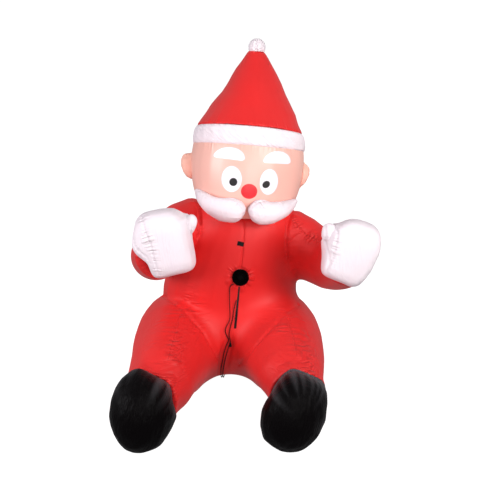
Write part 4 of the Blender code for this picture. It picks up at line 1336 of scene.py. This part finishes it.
def stagePiece(name, bm, spec):
    # Glowing white that lights nothing and isn't mirrored
    material, _, shader = newMaterial(name + "White", spec["roughness"])
    shader.inputs["Base Color"].default_value = (spec["grey"], spec["grey"], spec["grey"], 1.0)
    shader.inputs["Specular IOR Level"].default_value = spec["gloss"]
    shader.inputs["Emission Color"].default_value = (1.0, 1.0, 1.0, 1.0)
    shader.inputs["Emission Strength"].default_value = spec["glow"]
    mesh = bpy.data.meshes.new(name)
    bm.to_mesh(mesh)
    bm.free()
    mesh.materials.append(material)
    item = addItem(name, mesh)
    item.visible_diffuse = False
    item.visible_glossy = False
    return item


def makeStage():
    bm = bmesh.new()
    bmesh.ops.create_circle(bm, cap_ends=True, segments=64, radius=floorSpec["radius"])
    stagePiece("floor", bm, floorSpec)
    bm = bmesh.new()
    bmesh.ops.create_icosphere(bm, subdivisions=4, radius=surroundSpec["radius"])
    dome = stagePiece("surround", bm, surroundSpec)
    dome.visible_transmission = False
    dome.visible_shadow = False


lightSpecs = [
    {"name": "key", "place": (2.9, -3.2, 2.6), "target": (0.1, 0.0, 1.4), "size": 2.0, "power": 21.0,
     "colour": (1.0, 0.98, 0.96), "spread": 64.0},
    {"name": "front", "place": (0.6, -4.9, 1.1), "target": (0.0, 0.0, 1.3), "size": 2.0, "power": 10.5,
     "colour": (1.0, 0.99, 0.98), "spread": 70.0},
    {"name": "fill", "place": (-4.0, -2.2, 1.8), "target": (-0.1, 0.0, 1.2), "size": 2.0, "power": 110.0,
     "colour": (0.99, 0.97, 1.0), "spread": 180.0},
]


def makeLight(spec):
    data = bpy.data.lights.new(spec["name"], "AREA")
    data.spread = math.radians(spec["spread"])
    data.shape = "DISK"
    data.size = spec["size"]
    data.energy = spec["power"]
    data.color = spec["colour"]
    item = addItem(spec["name"], data)
    item.location = spec["place"]
    aim = Vector(spec["target"]) - Vector(spec["place"])
    item.rotation_euler = aim.to_track_quat("-Z", "Y").to_euler()


worldSpec = {"colour": (0.98, 0.97, 1.0), "heights": (-0.35, 0.75), "strengths": (0.27, 0.46)}


def makeWorld():
    # Brightest overhead, dimmer at eye level and below
    world = bpy.data.worlds.new("studio")
    bpy.context.scene.world = world
    world.use_nodes = True
    tree = world.node_tree
    back = tree.nodes["Background"]
    back.inputs["Color"].default_value = (*worldSpec["colour"], 1.0)
    split = addNode(tree, "ShaderNodeSeparateXYZ")
    tree.links.new(addNode(tree, "ShaderNodeTexCoord").outputs["Generated"], split.inputs[0])
    strength = smoothRise(tree, split.outputs["Z"], worldSpec["heights"], worldSpec["strengths"])
    tree.links.new(strength, back.inputs["Strength"])


makeStage()
makeWorld()
for spec in lightSpecs:
    makeLight(spec)
bpy.context.scene.view_settings.view_transform = "Standard"
bpy.context.scene.view_settings.look = "None"
print("stage: lights")
